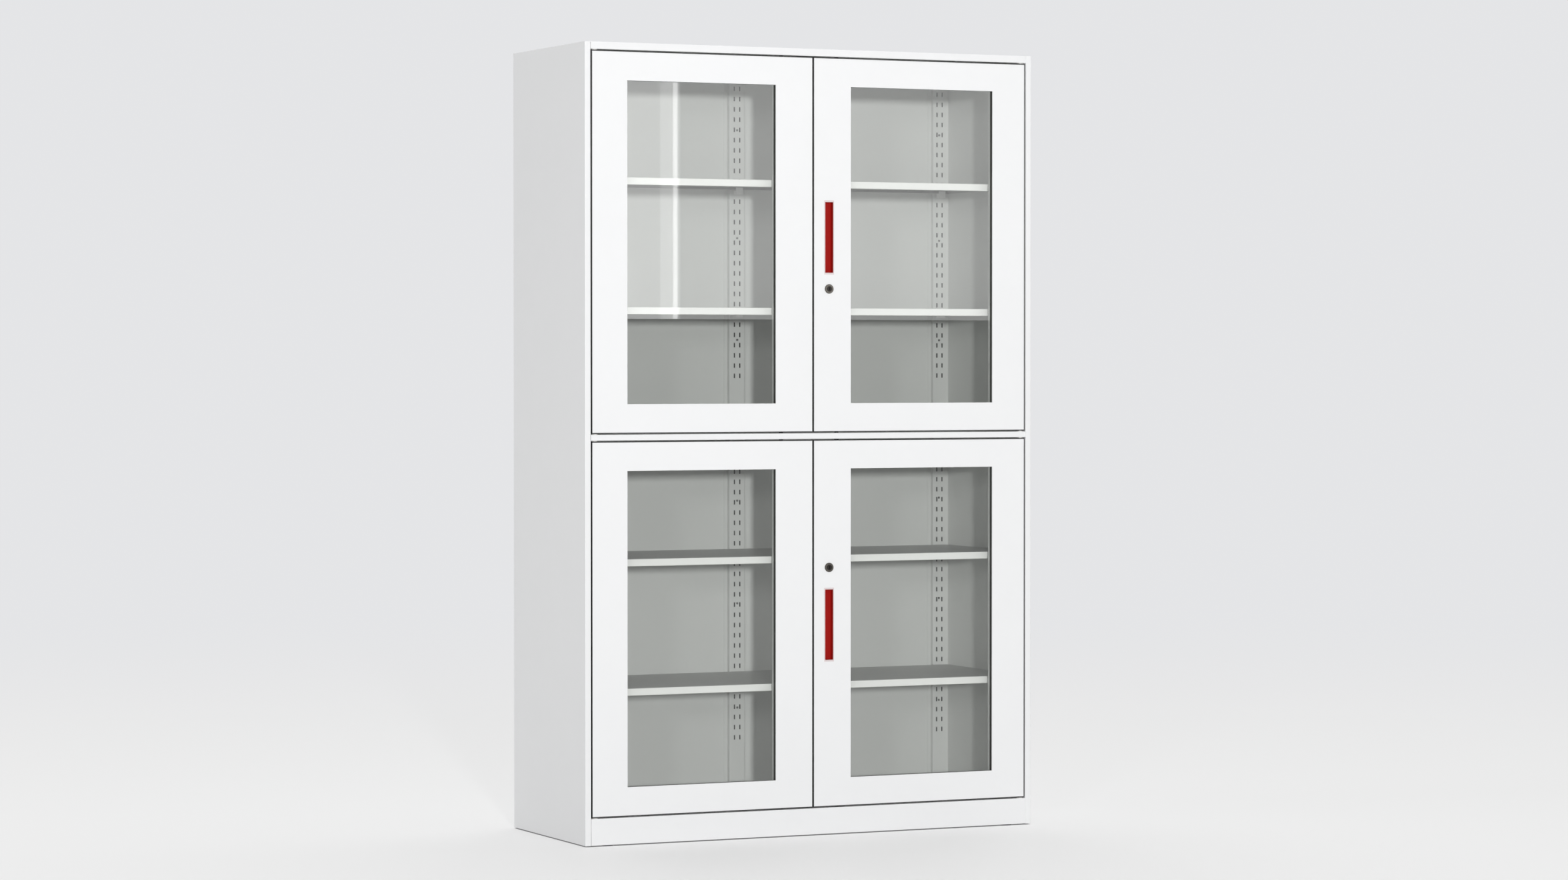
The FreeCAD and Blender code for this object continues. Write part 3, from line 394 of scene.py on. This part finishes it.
# Finish for the uprights and door liners, greyed as painted shade inside the cabinet.
INSIDE_SHADE_PAINT = Finish("inside_shade_paint", INSIDE_SHADE_TONE, 0.45, relief_mm=PAINT_RELIEF_MM)
CLIP_COAT = Finish("clip_coat", (0.95, 0.95, 0.94), 0.25, relief_mm=0.01)
BLACK_RUBBER = Finish("black_rubber", (0.012, 0.012, 0.013), 0.6, grain_mm=0.6, mottle=0.25)
GREY_RUBBER = Finish("grey_rubber", (0.07, 0.07, 0.066), 0.6, grain_mm=0.6, mottle=0.2)
BLACK_PLASTIC = Finish("black_plastic", (0.02, 0.02, 0.021), 0.45, grain_mm=0.8, mottle=0.2)
NYLON = Finish("natural_nylon", (0.74, 0.73, 0.69), 0.4, grain_mm=0.8, mottle=0.04)
PULL_RED = Finish("pull_red", (0.4, 0.011, 0.008), 0.55, sheen=0.1, grain_mm=0.7, relief_mm=0.015,
                  mottle=0.1, mottle_mm=30.0)
BEZEL_PALE = Finish("bezel_pale", (0.72, 0.62, 0.62), 0.35, grain_mm=0.8, mottle=0.04)
NICKEL = BrushedMetal("lock_nickel", (0.13, 0.12, 0.107), 0.3, metallic=1.0, grain_mm=0.5,
                      relief_mm=0.006, mottle=0.12, mottle_mm=6.0)
# Near black metal for the lock plug: painted shade of the keyway, laid over the plug's face.
KEYWAY_SHADE_NICKEL = BrushedMetal("plug_nickel_keyway_shade", (0.04, 0.037, 0.034), 0.38, metallic=1.0, grain_mm=0.5,
                           relief_mm=0.006, mottle=0.15, mottle_mm=5.0)
ZINC = BrushedMetal("zinc_plate", (0.6, 0.61, 0.63), 0.34, metallic=1.0, grain_mm=0.9,
                    relief_mm=0.008, mottle=0.14, mottle_mm=14.0)
RIVET_STEEL = BrushedMetal("rivet_steel", (0.3, 0.3, 0.3), 0.5, metallic=1.0, grain_mm=0.5,
                           mottle=0.1)
PANE = PaneGlass("clear_pane", (0.95, 0.95, 0.95), 0.0, metallic=1.0)


def dress_node(name: str, finish: Finish) -> None:
    """Give a solid its finish.

    Args:
        name: Name of the solid's node.
        finish: Finish for all of it.
    """
    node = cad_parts[name]
    node.data.materials.clear()
    node.data.materials.append(finish.material())
    LOG.info("%s wears %s", name, finish.name)


def start_piece(name: str) -> bpy.types.Object:
    """Name the primitive that was just added, and put its place into its mesh.

    Args:
        name: Name of the new piece.

    Returns:
        The piece, at the origin.
    """
    piece = bpy.context.active_object
    piece.name = name
    piece.data.name = name
    bpy.ops.object.transform_apply(location=True, rotation=True, scale=True)
    return piece


def select_faces(piece: bpy.types.Object, towards: Vector, least: float = 0.99) -> None:
    """Enter edit mode with only the outermost faces on one side selected.

    Args:
        piece: Piece to edit.
        towards: Direction that the faces point in.
        least: Least agreement of a face with the direction.
    """
    bpy.ops.object.mode_set(mode="EDIT")
    bpy.ops.mesh.select_mode(type="FACE")
    bpy.ops.mesh.select_all(action="DESELECT")
    mesh = bmesh.from_edit_mesh(piece.data)
    facing = [face for face in mesh.faces if face.normal.dot(towards) > least]
    outermost = max(face.calc_center_median().dot(towards) for face in facing)
    for face in facing:
        level = face.calc_center_median().dot(towards)
        face.select_set(outermost - level < LEVEL_TOLERANCE)
    mesh.select_flush_mode()
    bmesh.update_edit_mesh(piece.data)


@dataclass
class FixingHead:
    """Domed head of a screw or a rivet, sunk in the middle.

    Attributes:
        radius_mm: Radius of the head.
        height_mm: Height of the head over the sheet.
        recess_mm: Width of the slope into the middle.
        sides: Number of flats round the head.
        dome_share: Share of the radius that the dome's slope takes.
        dome_rise: Rise of the dome, as a share of the height.
        rim_share: Share of the radius that the flat rim takes.
        sink_share: Depth of the sunken middle, as a share of the height.
        finish: Finish of the head.
        slot: Name of a material slot; not used.
        made: How many heads have been modelled.
    """

    radius_mm: float = 2.6
    height_mm: float = 1.1
    recess_mm: float = 0.35
    sides: int = 20
    dome_share: float = 0.25
    dome_rise: float = 0.3
    rim_share: float = 0.3
    sink_share: float = 0.6
    finish: Finish = ZINC
    slot: str = "zinc"
    made: int = 0

    def build(self, name: str, seat: Vector, towards: Vector, body: str) -> None:
        """Model one head on a seat.

        Args:
            name: Name of the piece.
            seat: Point on the sheet, under the middle of the head.
            towards: Direction that the head points in.
            body: Body that carries it.
        """
        bpy.ops.object.select_all(action="DESELECT")
        height = self.height_mm * MILLIMETRE
        radius = self.radius_mm * MILLIMETRE
        turn = towards.to_track_quat("Z", "Y")
        bpy.ops.mesh.primitive_cylinder_add(vertices=self.sides, radius=radius, depth=height,
                                            location=seat + towards * height / 2,
                                            rotation=turn.to_euler())
        piece = start_piece(name)
        select_faces(piece, towards)
        bpy.ops.mesh.inset(thickness=self.dome_share * radius, depth=self.dome_rise * height)
        bpy.ops.mesh.inset(thickness=self.rim_share * radius, depth=0.0)
        bpy.ops.mesh.inset(thickness=self.recess_mm * MILLIMETRE, depth=-self.sink_share * height)
        bpy.ops.object.mode_set(mode="OBJECT")
        bpy.ops.object.shade_smooth_by_angle(angle=SMOOTH_ANGLE)
        piece.data.materials.append(self.finish.material())
        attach(piece, body)
        self.made += 1


@dataclass
class Carcass:
    """Folded steel case with its decks, back, uprights and feet.

    Attributes:
        case: Solids that are white outside and greyed inside as painted shade.
        uprights: Slotted channels on the back.
        sheet_mm: Thickness of the sheet.
        rail_mm: Depth of the front rails and jambs, which stay white, outside the painted shade.
        strip_margin_mm: How far the near black strips of painted shade on the back keep inside the
            uprights.
        rivet: Head of the rivets that hold the uprights.
        rivet_levels_mm: Heights of the rivets over the ground.
    """

    case: tuple[str, ...] = ("side_panel_left", "side_panel_right", "top_panel", "middle_deck",
                             "floor_deck", "plinth_board")
    uprights: tuple[str, ...] = ("rear_upright_left", "rear_upright_centre", "rear_upright_right")
    sheet_mm: float = 1.0
    rail_mm: float = 36.5
    strip_margin_mm: float = 3.0
    rivet: FixingHead = field(
        default_factory=lambda: FixingHead(height_mm=0.9, recess_mm=0.7, finish=RIVET_STEEL))
    rivet_levels_mm: tuple[float, ...] = (270.0, 525.0, 776.0, 1169.0, 1417.0, 1680.0)

    def dress(self) -> None:
        """Paint the case white, grey its inner faces as painted shade, and finish its small parts.
        """
        (left, _, _), (right, back, top) = CAD_BOX
        half_sheet = self.sheet_mm * MILLIMETRE / 2
        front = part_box("plinth_board")[0][1]
        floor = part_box("floor_deck")[1][2]
        # Painted shade: the case's faces inside the cabinet are greyed, for the shade that falls
        # there.
        inside = Zone((left + half_sheet, front + self.rail_mm * MILLIMETRE, floor - half_sheet),
                      (right - half_sheet, back, top - half_sheet), INSIDE_SHADE_TONE)
        paint = ZonedFinish("case_paint_and_inside_shade", WHITE_TONE, CASE_ROUGHNESS, relief_mm=PAINT_RELIEF_MM,
                            zones=(inside,))
        for name in self.case:
            dress_node(name, paint)
        self.dress_back()
        self.rivet_uprights()
        dress_node("levelling_glides", BLACK_PLASTIC)
        dress_node("pivot_bushes", NYLON)
        dress_node("door_buffers", BLACK_RUBBER)

    def dress_back(self) -> None:
        """Paint the uprights and the front face of the back grey as painted shade, the back's rear
        white, and lay a near black strip of painted shade behind each upright.
        """
        low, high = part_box("back_panel")
        middle = (low[1] + high[1]) / 2
        before = low[1] - self.sheet_mm * MILLIMETRE
        # Grey on the back's front face: painted shade inside the cabinet.
        zones = [Zone((low[0], before, low[2]), (high[0], middle, high[2]), INSIDE_SHADE_TONE)]
        margin = self.strip_margin_mm * MILLIMETRE
        for name in self.uprights:
            # The uprights are greyed as painted shade.
            dress_node(name, INSIDE_SHADE_PAINT)
            near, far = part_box(name)
            # Near black strip behind the upright: painted shade, for its slots to show dark.
            zones.append(Zone((near[0] + margin, near[1], near[2]),
                              (far[0] - margin, middle, far[2]), SLOT_SHADE_TONE))
        dress_node("back_panel", ZonedFinish("back_paint_and_shade", WHITE_TONE, CASE_ROUGHNESS,
                                             relief_mm=PAINT_RELIEF_MM, zones=tuple(zones)))

    def rivet_uprights(self) -> None:
        """Put rivet heads on the uprights, between their slots."""
        for name in self.uprights:
            low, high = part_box(name)
            for level in self.rivet_levels_mm:
                seat = Vector(((low[0] + high[0]) / 2, low[1], level * MILLIMETRE))
                self.rivet.build(f"{name}_rivet_{self.rivet.made}", seat, TO_FRONT, "carcass")
        LOG.info("%d rivets on the uprights", self.rivet.made)


@dataclass
class ShelfSet:
    """The two shelves of one tier and their clips.

    Attributes:
        tier: Tier that the shelves are in.
        levels: Names of the shelves.
        lip_mm: Depth of the white front lip.
        room_mm: How far the zone of painted shade reaches past the shelf.
    """

    tier: Tier
    levels: tuple[str, ...] = ("top", "bottom")
    lip_mm: float = 0.6
    room_mm: float = 5.0

    def dress(self) -> None:
        """Paint the shelves, white on the lip and greyed behind it as painted shade, and coat the
        clips.
        """
        room = Vector((1.0, 1.0, 1.0)) * self.room_mm * MILLIMETRE
        for level in self.levels:
            name = f"shelf_{self.tier.value}_{level}"
            low, high = (Vector(corner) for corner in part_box(name))
            # Tops behind the lip are greyed: painted shade.
            behind = (low.x - room.x, low.y + self.lip_mm * MILLIMETRE, low.z - room.z)
            deck = Zone(behind, tuple(high + room), SHELF_DECK_SHADE_TONE)
            dress_node(name, ZonedFinish(f"{name}_paint", SHELF_TONE, CASE_ROUGHNESS,
                                         relief_mm=PAINT_RELIEF_MM, zones=(deck,)))
        dress_node(f"shelf_clips_{self.tier.value}", CLIP_COAT)


@dataclass
class GapShadeSeal:
    """Black rubber band round the edges of a door, set back from its face: a rubber seal, whose
    black also stands in as painted shade in the gaps between the doors.

    Attributes:
        proud_mm: Thickness of the band.
        front_mm: Depth behind the door's face where it starts.
        back_mm: Room left to the door's back.
        round_share: Radius of its edges, as a share of the thickness.
        round_steps: Number of facets on such an edge.
    """

    proud_mm: float = 1.6
    front_mm: float = 1.5
    back_mm: float = 2.5
    round_share: float = 0.35
    round_steps: int = 2

    def build(self, door: str, body: str) -> None:
        """Model the band round one door.

        Args:
            door: Ending of the door's node names.
            body: Body that carries it.
        """
        low, high = (Vector(corner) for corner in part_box(f"door_shell_{door}"))
        front = low.y + self.front_mm * MILLIMETRE
        back = high.y - self.back_mm * MILLIMETRE
        middle = (low + high) / 2
        bpy.ops.object.select_all(action="DESELECT")
        bpy.ops.mesh.primitive_cube_add(size=1.0, location=(middle.x, (front + back) / 2, middle.z),
                                        scale=(high.x - low.x, back - front, high.z - low.z))
        piece = start_piece(f"edge_seal_{door}")
        for towards in (TO_BACK, TO_FRONT):
            select_faces(piece, towards)
            bpy.ops.mesh.delete(type="FACE")
            bpy.ops.object.mode_set(mode="OBJECT")
        wall = piece.modifiers.new("wall", "SOLIDIFY")
        wall.thickness = self.proud_mm * MILLIMETRE
        wall.offset = 1.0
        wall.use_even_offset = True
        bpy.ops.object.modifier_apply(modifier=wall.name)
        lip = piece.modifiers.new("lip", "BEVEL")
        lip.width = self.round_share * self.proud_mm * MILLIMETRE
        lip.segments = self.round_steps
        bpy.ops.object.modifier_apply(modifier=lip.name)
        bpy.ops.object.shade_smooth_by_angle(angle=SMOOTH_ANGLE)
        piece.data.materials.append(BLACK_RUBBER.material())
        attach(piece, body)
        LOG.info("edge seal on door %s", door)


@dataclass
class GlazedDoor:
    """One door with its glazing, pivots and fittings.

    Attributes:
        tier: Tier that the door closes.
        side: Side that it is hung on.
        screw: Head of the screws in its bolt guides.
        guide_screw_across_mm: Distance of a screw from the guide's middle line.
        guide_screw_up_mm: Distance of a screw from the guide's half height.
        guide_length_mm: Length of a guide's plate.
        guide_sheet_mm: Thickness of that plate.
    """

    tier: Tier
    side: Side
    screw: FixingHead
    guide_screw_across_mm: float = 8.0
    guide_screw_up_mm: float = 14.0
    guide_length_mm: float = 56.0
    guide_sheet_mm: float = 1.5

    @property
    def name(self) -> str:
        """Ending of this door's node names."""
        return f"{self.tier.value}_{self.side.value}"

    @property
    def body(self) -> str:
        """Body that the door's pieces ride on."""
        return f"door_{self.name}"

    def dress(self) -> None:
        """Finish the door's solids."""
        dress_node(f"door_shell_{self.name}", DOOR_PAINT)
        # The liner is greyed as painted shade inside the cabinet.
        dress_node(f"door_liner_{self.name}", INSIDE_SHADE_PAINT)
        dress_node(f"door_gasket_{self.name}", GREY_RUBBER)
        dress_node(f"door_glass_{self.name}", PANE)
        dress_node(f"pivot_pins_{self.name}", ZINC)
        # The seal's black darkens the door gaps: partly rubber, partly painted shade.
        GapShadeSeal().build(self.name, self.body)
        if self.side is Side.RIGHT:
            self.dress_lock()
        else:
            self.dress_bolts()

    def dress_lock(self) -> None:
        """Finish the pull and the cam lock."""
        dress_node(f"pull_cup_{self.name}", PULL_RED)
        dress_node(f"pull_bezel_{self.name}", BEZEL_PALE)
        dress_node(f"lock_body_{self.name}", NICKEL)
        # The plug's dark tone is painted shade of its keyway.
        dress_node(f"lock_plug_{self.name}", KEYWAY_SHADE_NICKEL)
        dress_node(f"lock_nut_{self.name}", ZINC)
        dress_node(f"lock_cam_{self.name}", ZINC)

    def dress_bolts(self) -> None:
        """Finish the flush bolts and screw their guides to the door."""
        dress_node(f"bolt_guides_{self.name}", ZINC)
        for end in End:
            dress_node(f"bolt_{end.value}_{self.name}", ZINC)
            self.fix_guide(end)

    def fix_guide(self, end: End) -> None:
        """Put four screw heads on the plate of one bolt guide.

        Args:
            end: End of the door that the guide is on.
        """
        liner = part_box(f"door_liner_{self.name}")
        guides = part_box(f"bolt_guides_{self.name}")
        length = self.guide_length_mm * MILLIMETRE
        middle = guides[1][2] - length / 2 if end is End.TOP else guides[0][2] + length / 2
        across = (guides[0][0] + guides[1][0]) / 2
        face = liner[1][1] + self.guide_sheet_mm * MILLIMETRE
        for column in (-1, 1):
            for row in (-1, 1):
                seat = Vector((across + column * self.guide_screw_across_mm * MILLIMETRE, face,
                               middle + row * self.guide_screw_up_mm * MILLIMETRE))
                self.screw.build(f"guide_screw_{end.value}_{self.name}_{self.screw.made}", seat,
                                 TO_BACK, self.body)
        LOG.info("guide at the %s of door %s screwed on", end.value, self.name)


@dataclass(frozen=True)
class LightPanel:
    """A flat lamp that hangs in the studio.

    Attributes:
        name: Name of the lamp.
        place: Its middle, in metres.
        aim: Point that it faces, in metres.
        size: Its width and height, in metres.
        radiance: Brightness of its face.
        mirrored: Whether it is only there to be mirrored in the panes, without other light.
    """

    name: str
    place: Point
    aim: Point
    size: tuple[float, float]
    radiance: float
    mirrored: bool = False

    @classmethod
    def card(cls, name: str, across: float, along: float, width: float,
             radiance: float) -> "LightPanel":
        """Describe an upright card before the cabinet, for the panes to mirror.

        Args:
            name: Name of the lamp.
            across: Its place from left to right, in metres.
            along: Its place from front to back, in metres.
            width: Its width, in metres.
            radiance: Brightness of its face.

        Returns:
            The lamp that stands for the card.
        """
        return cls(name, (across, along, CARD_LEVEL), (across, 0.0, CARD_LEVEL),
                   (width, CARD_HEIGHT), radiance, mirrored=True)

    def hang(self) -> None:
        """Hang the lamp, out of the camera's sight."""
        lamp = bpy.data.lights.new(self.name, "AREA")
        lamp.shape = "RECTANGLE"
        lamp.size, lamp.size_y = self.size
        lamp.energy = self.radiance * math.pi * self.size[0] * self.size[1]
        holder = bpy.data.objects.new(self.name, lamp)
        bpy.context.scene.collection.objects.link(holder)
        holder.location = self.place
        facing = Vector(self.aim) - Vector(self.place)
        holder.rotation_euler = facing.to_track_quat("-Z", "Y").to_euler()
        holder.visible_camera = False
        holder.visible_glossy = self.mirrored
        holder.visible_diffuse = not self.mirrored


CARD_LEVEL = 3.285
CARD_HEIGHT = 4.0
CABINET_MIDDLE = (0.0, 0.0, 0.95)
PANELS = (
    LightPanel("level_key", (-5.0, -14.8, 1.85), CABINET_MIDDLE, (0.5, 0.6), 1120.0),
    LightPanel("high_key", (-8.6, -11.5, 3.0), CABINET_MIDDLE, (1.08, 1.08), 38.0),
    LightPanel("side_light", (-14.0, 0.7, 1.9), (-0.58, 0.1, 0.95), (4.1, 5.0), 3.4),
    LightPanel.card("high_card", 5.379, -7.0, 5.48, 1.9),
    LightPanel.card("left_card", 1.079, -7.0, 3.1, 3.3),
    LightPanel.card("card_edge", 2.589, -6.99, 0.08, 1.0),
    LightPanel.card("card_rim", 2.616, -6.98, 0.03, 3.0),
)


@dataclass
class Studio:
    """Pale floor and soft light round the cabinet.

    Attributes:
        floor_tone: Linear tone of the floor.
        floor_roughness: Roughness of the floor.
        floor_sheen: Strength of its mirroring.
        floor_lift: Brightness that the camera adds to the floor, so that it reads as white paper.
        backdrop: Linear tone behind the cabinet.
        fill: Strength of the light from all round.
        rear_fill: Strength of the added light from behind on the right, for the back and the top.
        rear_axis: Direction that this light comes from.
        rear_rim: Agreement with that direction at which the light starts, and at which it is full.
        room: Strength of what the panes and metals mirror of the room.
        floor_size: Half width of the floor, in metres.
        near: Distance from the cabinet where the floor starts to fade into the backdrop.
        far: Distance where it has done so.
        shade_depth: Half height of the zone under the cabinet where nothing is added.
    """

    floor_tone: float = 0.8
    floor_roughness: float = 0.6
    floor_sheen: float = 0.2
    floor_lift: float = 0.24
    backdrop: Colour = (0.78, 0.785, 0.8)
    fill: float = 0.48
    rear_fill: float = 0.8
    rear_axis: Point = (0.64, 0.77, 0.6)
    rear_rim: tuple[float, float] = (0.45, 1.1)
    room: float = 0.3
    floor_size: float = 60.0
    near: float = 1.5
    far: float = 9.0
    shade_depth: float = 0.01

    def build(self) -> None:
        """Lay the floor, set the world and hang the lamps."""
        self.lay_floor()
        self.set_world()
        for panel in PANELS:
            panel.hang()
            LOG.info("lamp %s hung", panel.name)

    def lay_floor(self) -> None:
        """Lay a pale floor that fades into the backdrop away from the cabinet."""
        bpy.ops.object.select_all(action="DESELECT")
        bpy.ops.mesh.primitive_plane_add(size=2 * self.floor_size)
        floor = start_piece("studio_floor")
        material = bpy.data.materials.new("studio_floor")
        material.use_nodes = True
        tree = material.node_tree
        shader = tree.nodes["Principled BSDF"]
        shader.inputs["Base Color"].default_value = (self.floor_tone,) * 3 + (1.0,)
        shader.inputs["Roughness"].default_value = self.floor_roughness
        shader.inputs["Specular IOR Level"].default_value = self.floor_sheen
        place = tree.nodes.new("ShaderNodeTexCoord")
        path = tree.nodes.new("ShaderNodeLightPath")
        self.lift_floor(tree, shader, place, path)
        self.fade_floor(tree, shader, place, path)
        floor.data.materials.append(material)

    def lift_floor(self, tree: bpy.types.NodeTree, shader: bpy.types.ShaderNode,
                   place: bpy.types.ShaderNode, path: bpy.types.ShaderNode) -> None:
        """Brighten the floor for the camera, except under the cabinet.

        Args:
            tree: Node tree of the floor's material.
            shader: Its main shader.
            place: Texture coordinate node.
            path: Light path node.
        """
        axes = tree.nodes.new("ShaderNodeSeparateXYZ")
        paper = tree.nodes.new("ShaderNodeMix")
        paper.data_type = "RGBA"
        paper.inputs["A"].default_value = PURE_WHITE
        low, high = CAD_BOX
        shade = Zone((*low[:2], -self.shade_depth), (*high[:2], self.shade_depth), BLACK)
        paper.inputs["B"].default_value = (*shade.tone, 1.0)
        lift = tree.nodes.new("ShaderNodeMath")
        lift.operation = "MULTIPLY"
        lift.inputs[1].default_value = self.floor_lift
        tree.links.new(place.outputs["Object"], axes.inputs["Vector"])
        tree.links.new(shade.mask(tree, axes), paper.inputs["Factor"])
        tree.links.new(paper.outputs["Result"], shader.inputs["Emission Color"])
        tree.links.new(path.outputs["Is Camera Ray"], lift.inputs[0])
        tree.links.new(lift.outputs["Value"], shader.inputs["Emission Strength"])

    def fade_floor(self, tree: bpy.types.NodeTree, shader: bpy.types.ShaderNode,
                   place: bpy.types.ShaderNode, path: bpy.types.ShaderNode) -> None:
        """Show the camera the backdrop in place of the floor, more so the farther away it is.

        Args:
            tree: Node tree of the floor's material.
            shader: Its main shader.
            place: Texture coordinate node.
            path: Light path node.
        """
        glow = tree.nodes.new("ShaderNodeEmission")
        glow.inputs["Color"].default_value = (*self.backdrop, 1.0)
        reach = tree.nodes.new("ShaderNodeVectorMath")
        reach.operation = "LENGTH"
        fade = tree.nodes.new("ShaderNodeMapRange")
        fade.interpolation_type = "SMOOTHSTEP"
        fade.inputs["From Min"].default_value = self.near
        fade.inputs["From Max"].default_value = self.far
        seen = tree.nodes.new("ShaderNodeMath")
        seen.operation = "MULTIPLY"
        mix = tree.nodes.new("ShaderNodeMixShader")
        tree.links.new(place.outputs["Object"], reach.inputs[0])
        tree.links.new(reach.outputs["Value"], fade.inputs["Value"])
        tree.links.new(fade.outputs["Result"], seen.inputs[0])
        tree.links.new(path.outputs["Is Camera Ray"], seen.inputs[1])
        tree.links.new(seen.outputs["Value"], mix.inputs["Fac"])
        tree.links.new(shader.outputs["BSDF"], mix.inputs[1])
        tree.links.new(glow.outputs["Emission"], mix.inputs[2])
        tree.links.new(mix.outputs["Shader"], tree.nodes["Material Output"].inputs["Surface"])

    def soft_light(self, tree: bpy.types.NodeTree) -> bpy.types.NodeSocket:
        """Set how strong the light from each direction is.

        Args:
            tree: Node tree of the world.

        Returns:
            Socket that gives the strength, which is highest from behind on the right.
        """
        place = tree.nodes.new("ShaderNodeTexCoord")
        agree = tree.nodes.new("ShaderNodeVectorMath")
        agree.operation = "DOT_PRODUCT"
        agree.inputs[1].default_value = self.rear_axis
        rise = tree.nodes.new("ShaderNodeMapRange")
        rise.interpolation_type = "SMOOTHSTEP"
        rise.inputs["From Min"].default_value, rise.inputs["From Max"].default_value = self.rear_rim
        rise.inputs["To Min"].default_value = self.fill
        rise.inputs["To Max"].default_value = self.fill + self.rear_fill
        tree.links.new(place.outputs["Generated"], agree.inputs[0])
        tree.links.new(agree.outputs["Value"], rise.inputs["Value"])
        return rise.outputs["Result"]

    def set_world(self) -> None:
        """Light the scene softly, and show the camera the backdrop and mirrors a dimmer room."""
        world = bpy.data.worlds.new("studio_world")
        bpy.context.scene.world = world
        world.use_nodes = True
        tree = world.node_tree
        light = tree.nodes["Background"]
        light.inputs["Color"].default_value = PURE_WHITE
        mirrored = tree.nodes.new("ShaderNodeBackground")
        mirrored.inputs["Color"].default_value = PURE_WHITE
        mirrored.inputs["Strength"].default_value = self.room
        shown = tree.nodes.new("ShaderNodeBackground")
        shown.inputs["Color"].default_value = (*self.backdrop, 1.0)
        path = tree.nodes.new("ShaderNodeLightPath")
        in_mirror = tree.nodes.new("ShaderNodeMixShader")
        in_view = tree.nodes.new("ShaderNodeMixShader")
        tree.links.new(self.soft_light(tree), light.inputs["Strength"])
        tree.links.new(path.outputs["Is Glossy Ray"], in_mirror.inputs["Fac"])
        tree.links.new(light.outputs["Background"], in_mirror.inputs[1])
        tree.links.new(mirrored.outputs["Background"], in_mirror.inputs[2])
        tree.links.new(path.outputs["Is Camera Ray"], in_view.inputs["Fac"])
        tree.links.new(in_mirror.outputs["Shader"], in_view.inputs[1])
        tree.links.new(shown.outputs["Background"], in_view.inputs[2])
        tree.links.new(in_view.outputs["Shader"], tree.nodes["World Output"].inputs["Surface"])


@dataclass
class PhotoCamera:
    """Camera that repeats the photograph's viewpoint.

    Attributes:
        place: Where it stands, in metres.
        yaw_deg: Turn to the right of straight ahead.
        drop_deg: Tilt down from level.
        lens_mm: Focal length.
        sensor_mm: Width of the sensor.
        sight_m: How far it sees.
    """

    place: Point = (-4.339, -9.326, 1.12)
    yaw_deg: float = 25.09
    drop_deg: float = 1.07
    lens_mm: float = 98.5
    sensor_mm: float = 36.0
    sight_m: float = 200.0

    def build(self) -> None:
        """Set the camera up and make it the scene's own."""
        data = bpy.data.cameras.new("photo_camera")
        data.sensor_width = self.sensor_mm
        data.sensor_fit = "HORIZONTAL"
        data.lens = self.lens_mm
        data.clip_end = self.sight_m
        camera = bpy.data.objects.new("photo_camera", data)
        bpy.context.scene.collection.objects.link(camera)
        camera.location = self.place
        tilt = math.radians(90.0 - self.drop_deg)
        camera.rotation_euler = (tilt, 0.0, -math.radians(self.yaw_deg))
        bpy.context.scene.camera = camera


def main() -> None:
    """Build and dress the cabinet, then set the studio and the camera."""
    logging.basicConfig(level=logging.INFO)
    bpy.context.scene.view_settings.view_transform = "Standard"
    Carcass().dress()
    screw = FixingHead()
    for tier in Tier:
        ShelfSet(tier).dress()
        for side in Side:
            GlazedDoor(tier, side, screw).dress()
    Studio().build()
    PhotoCamera().build()


if __name__ == "__main__":
    main()
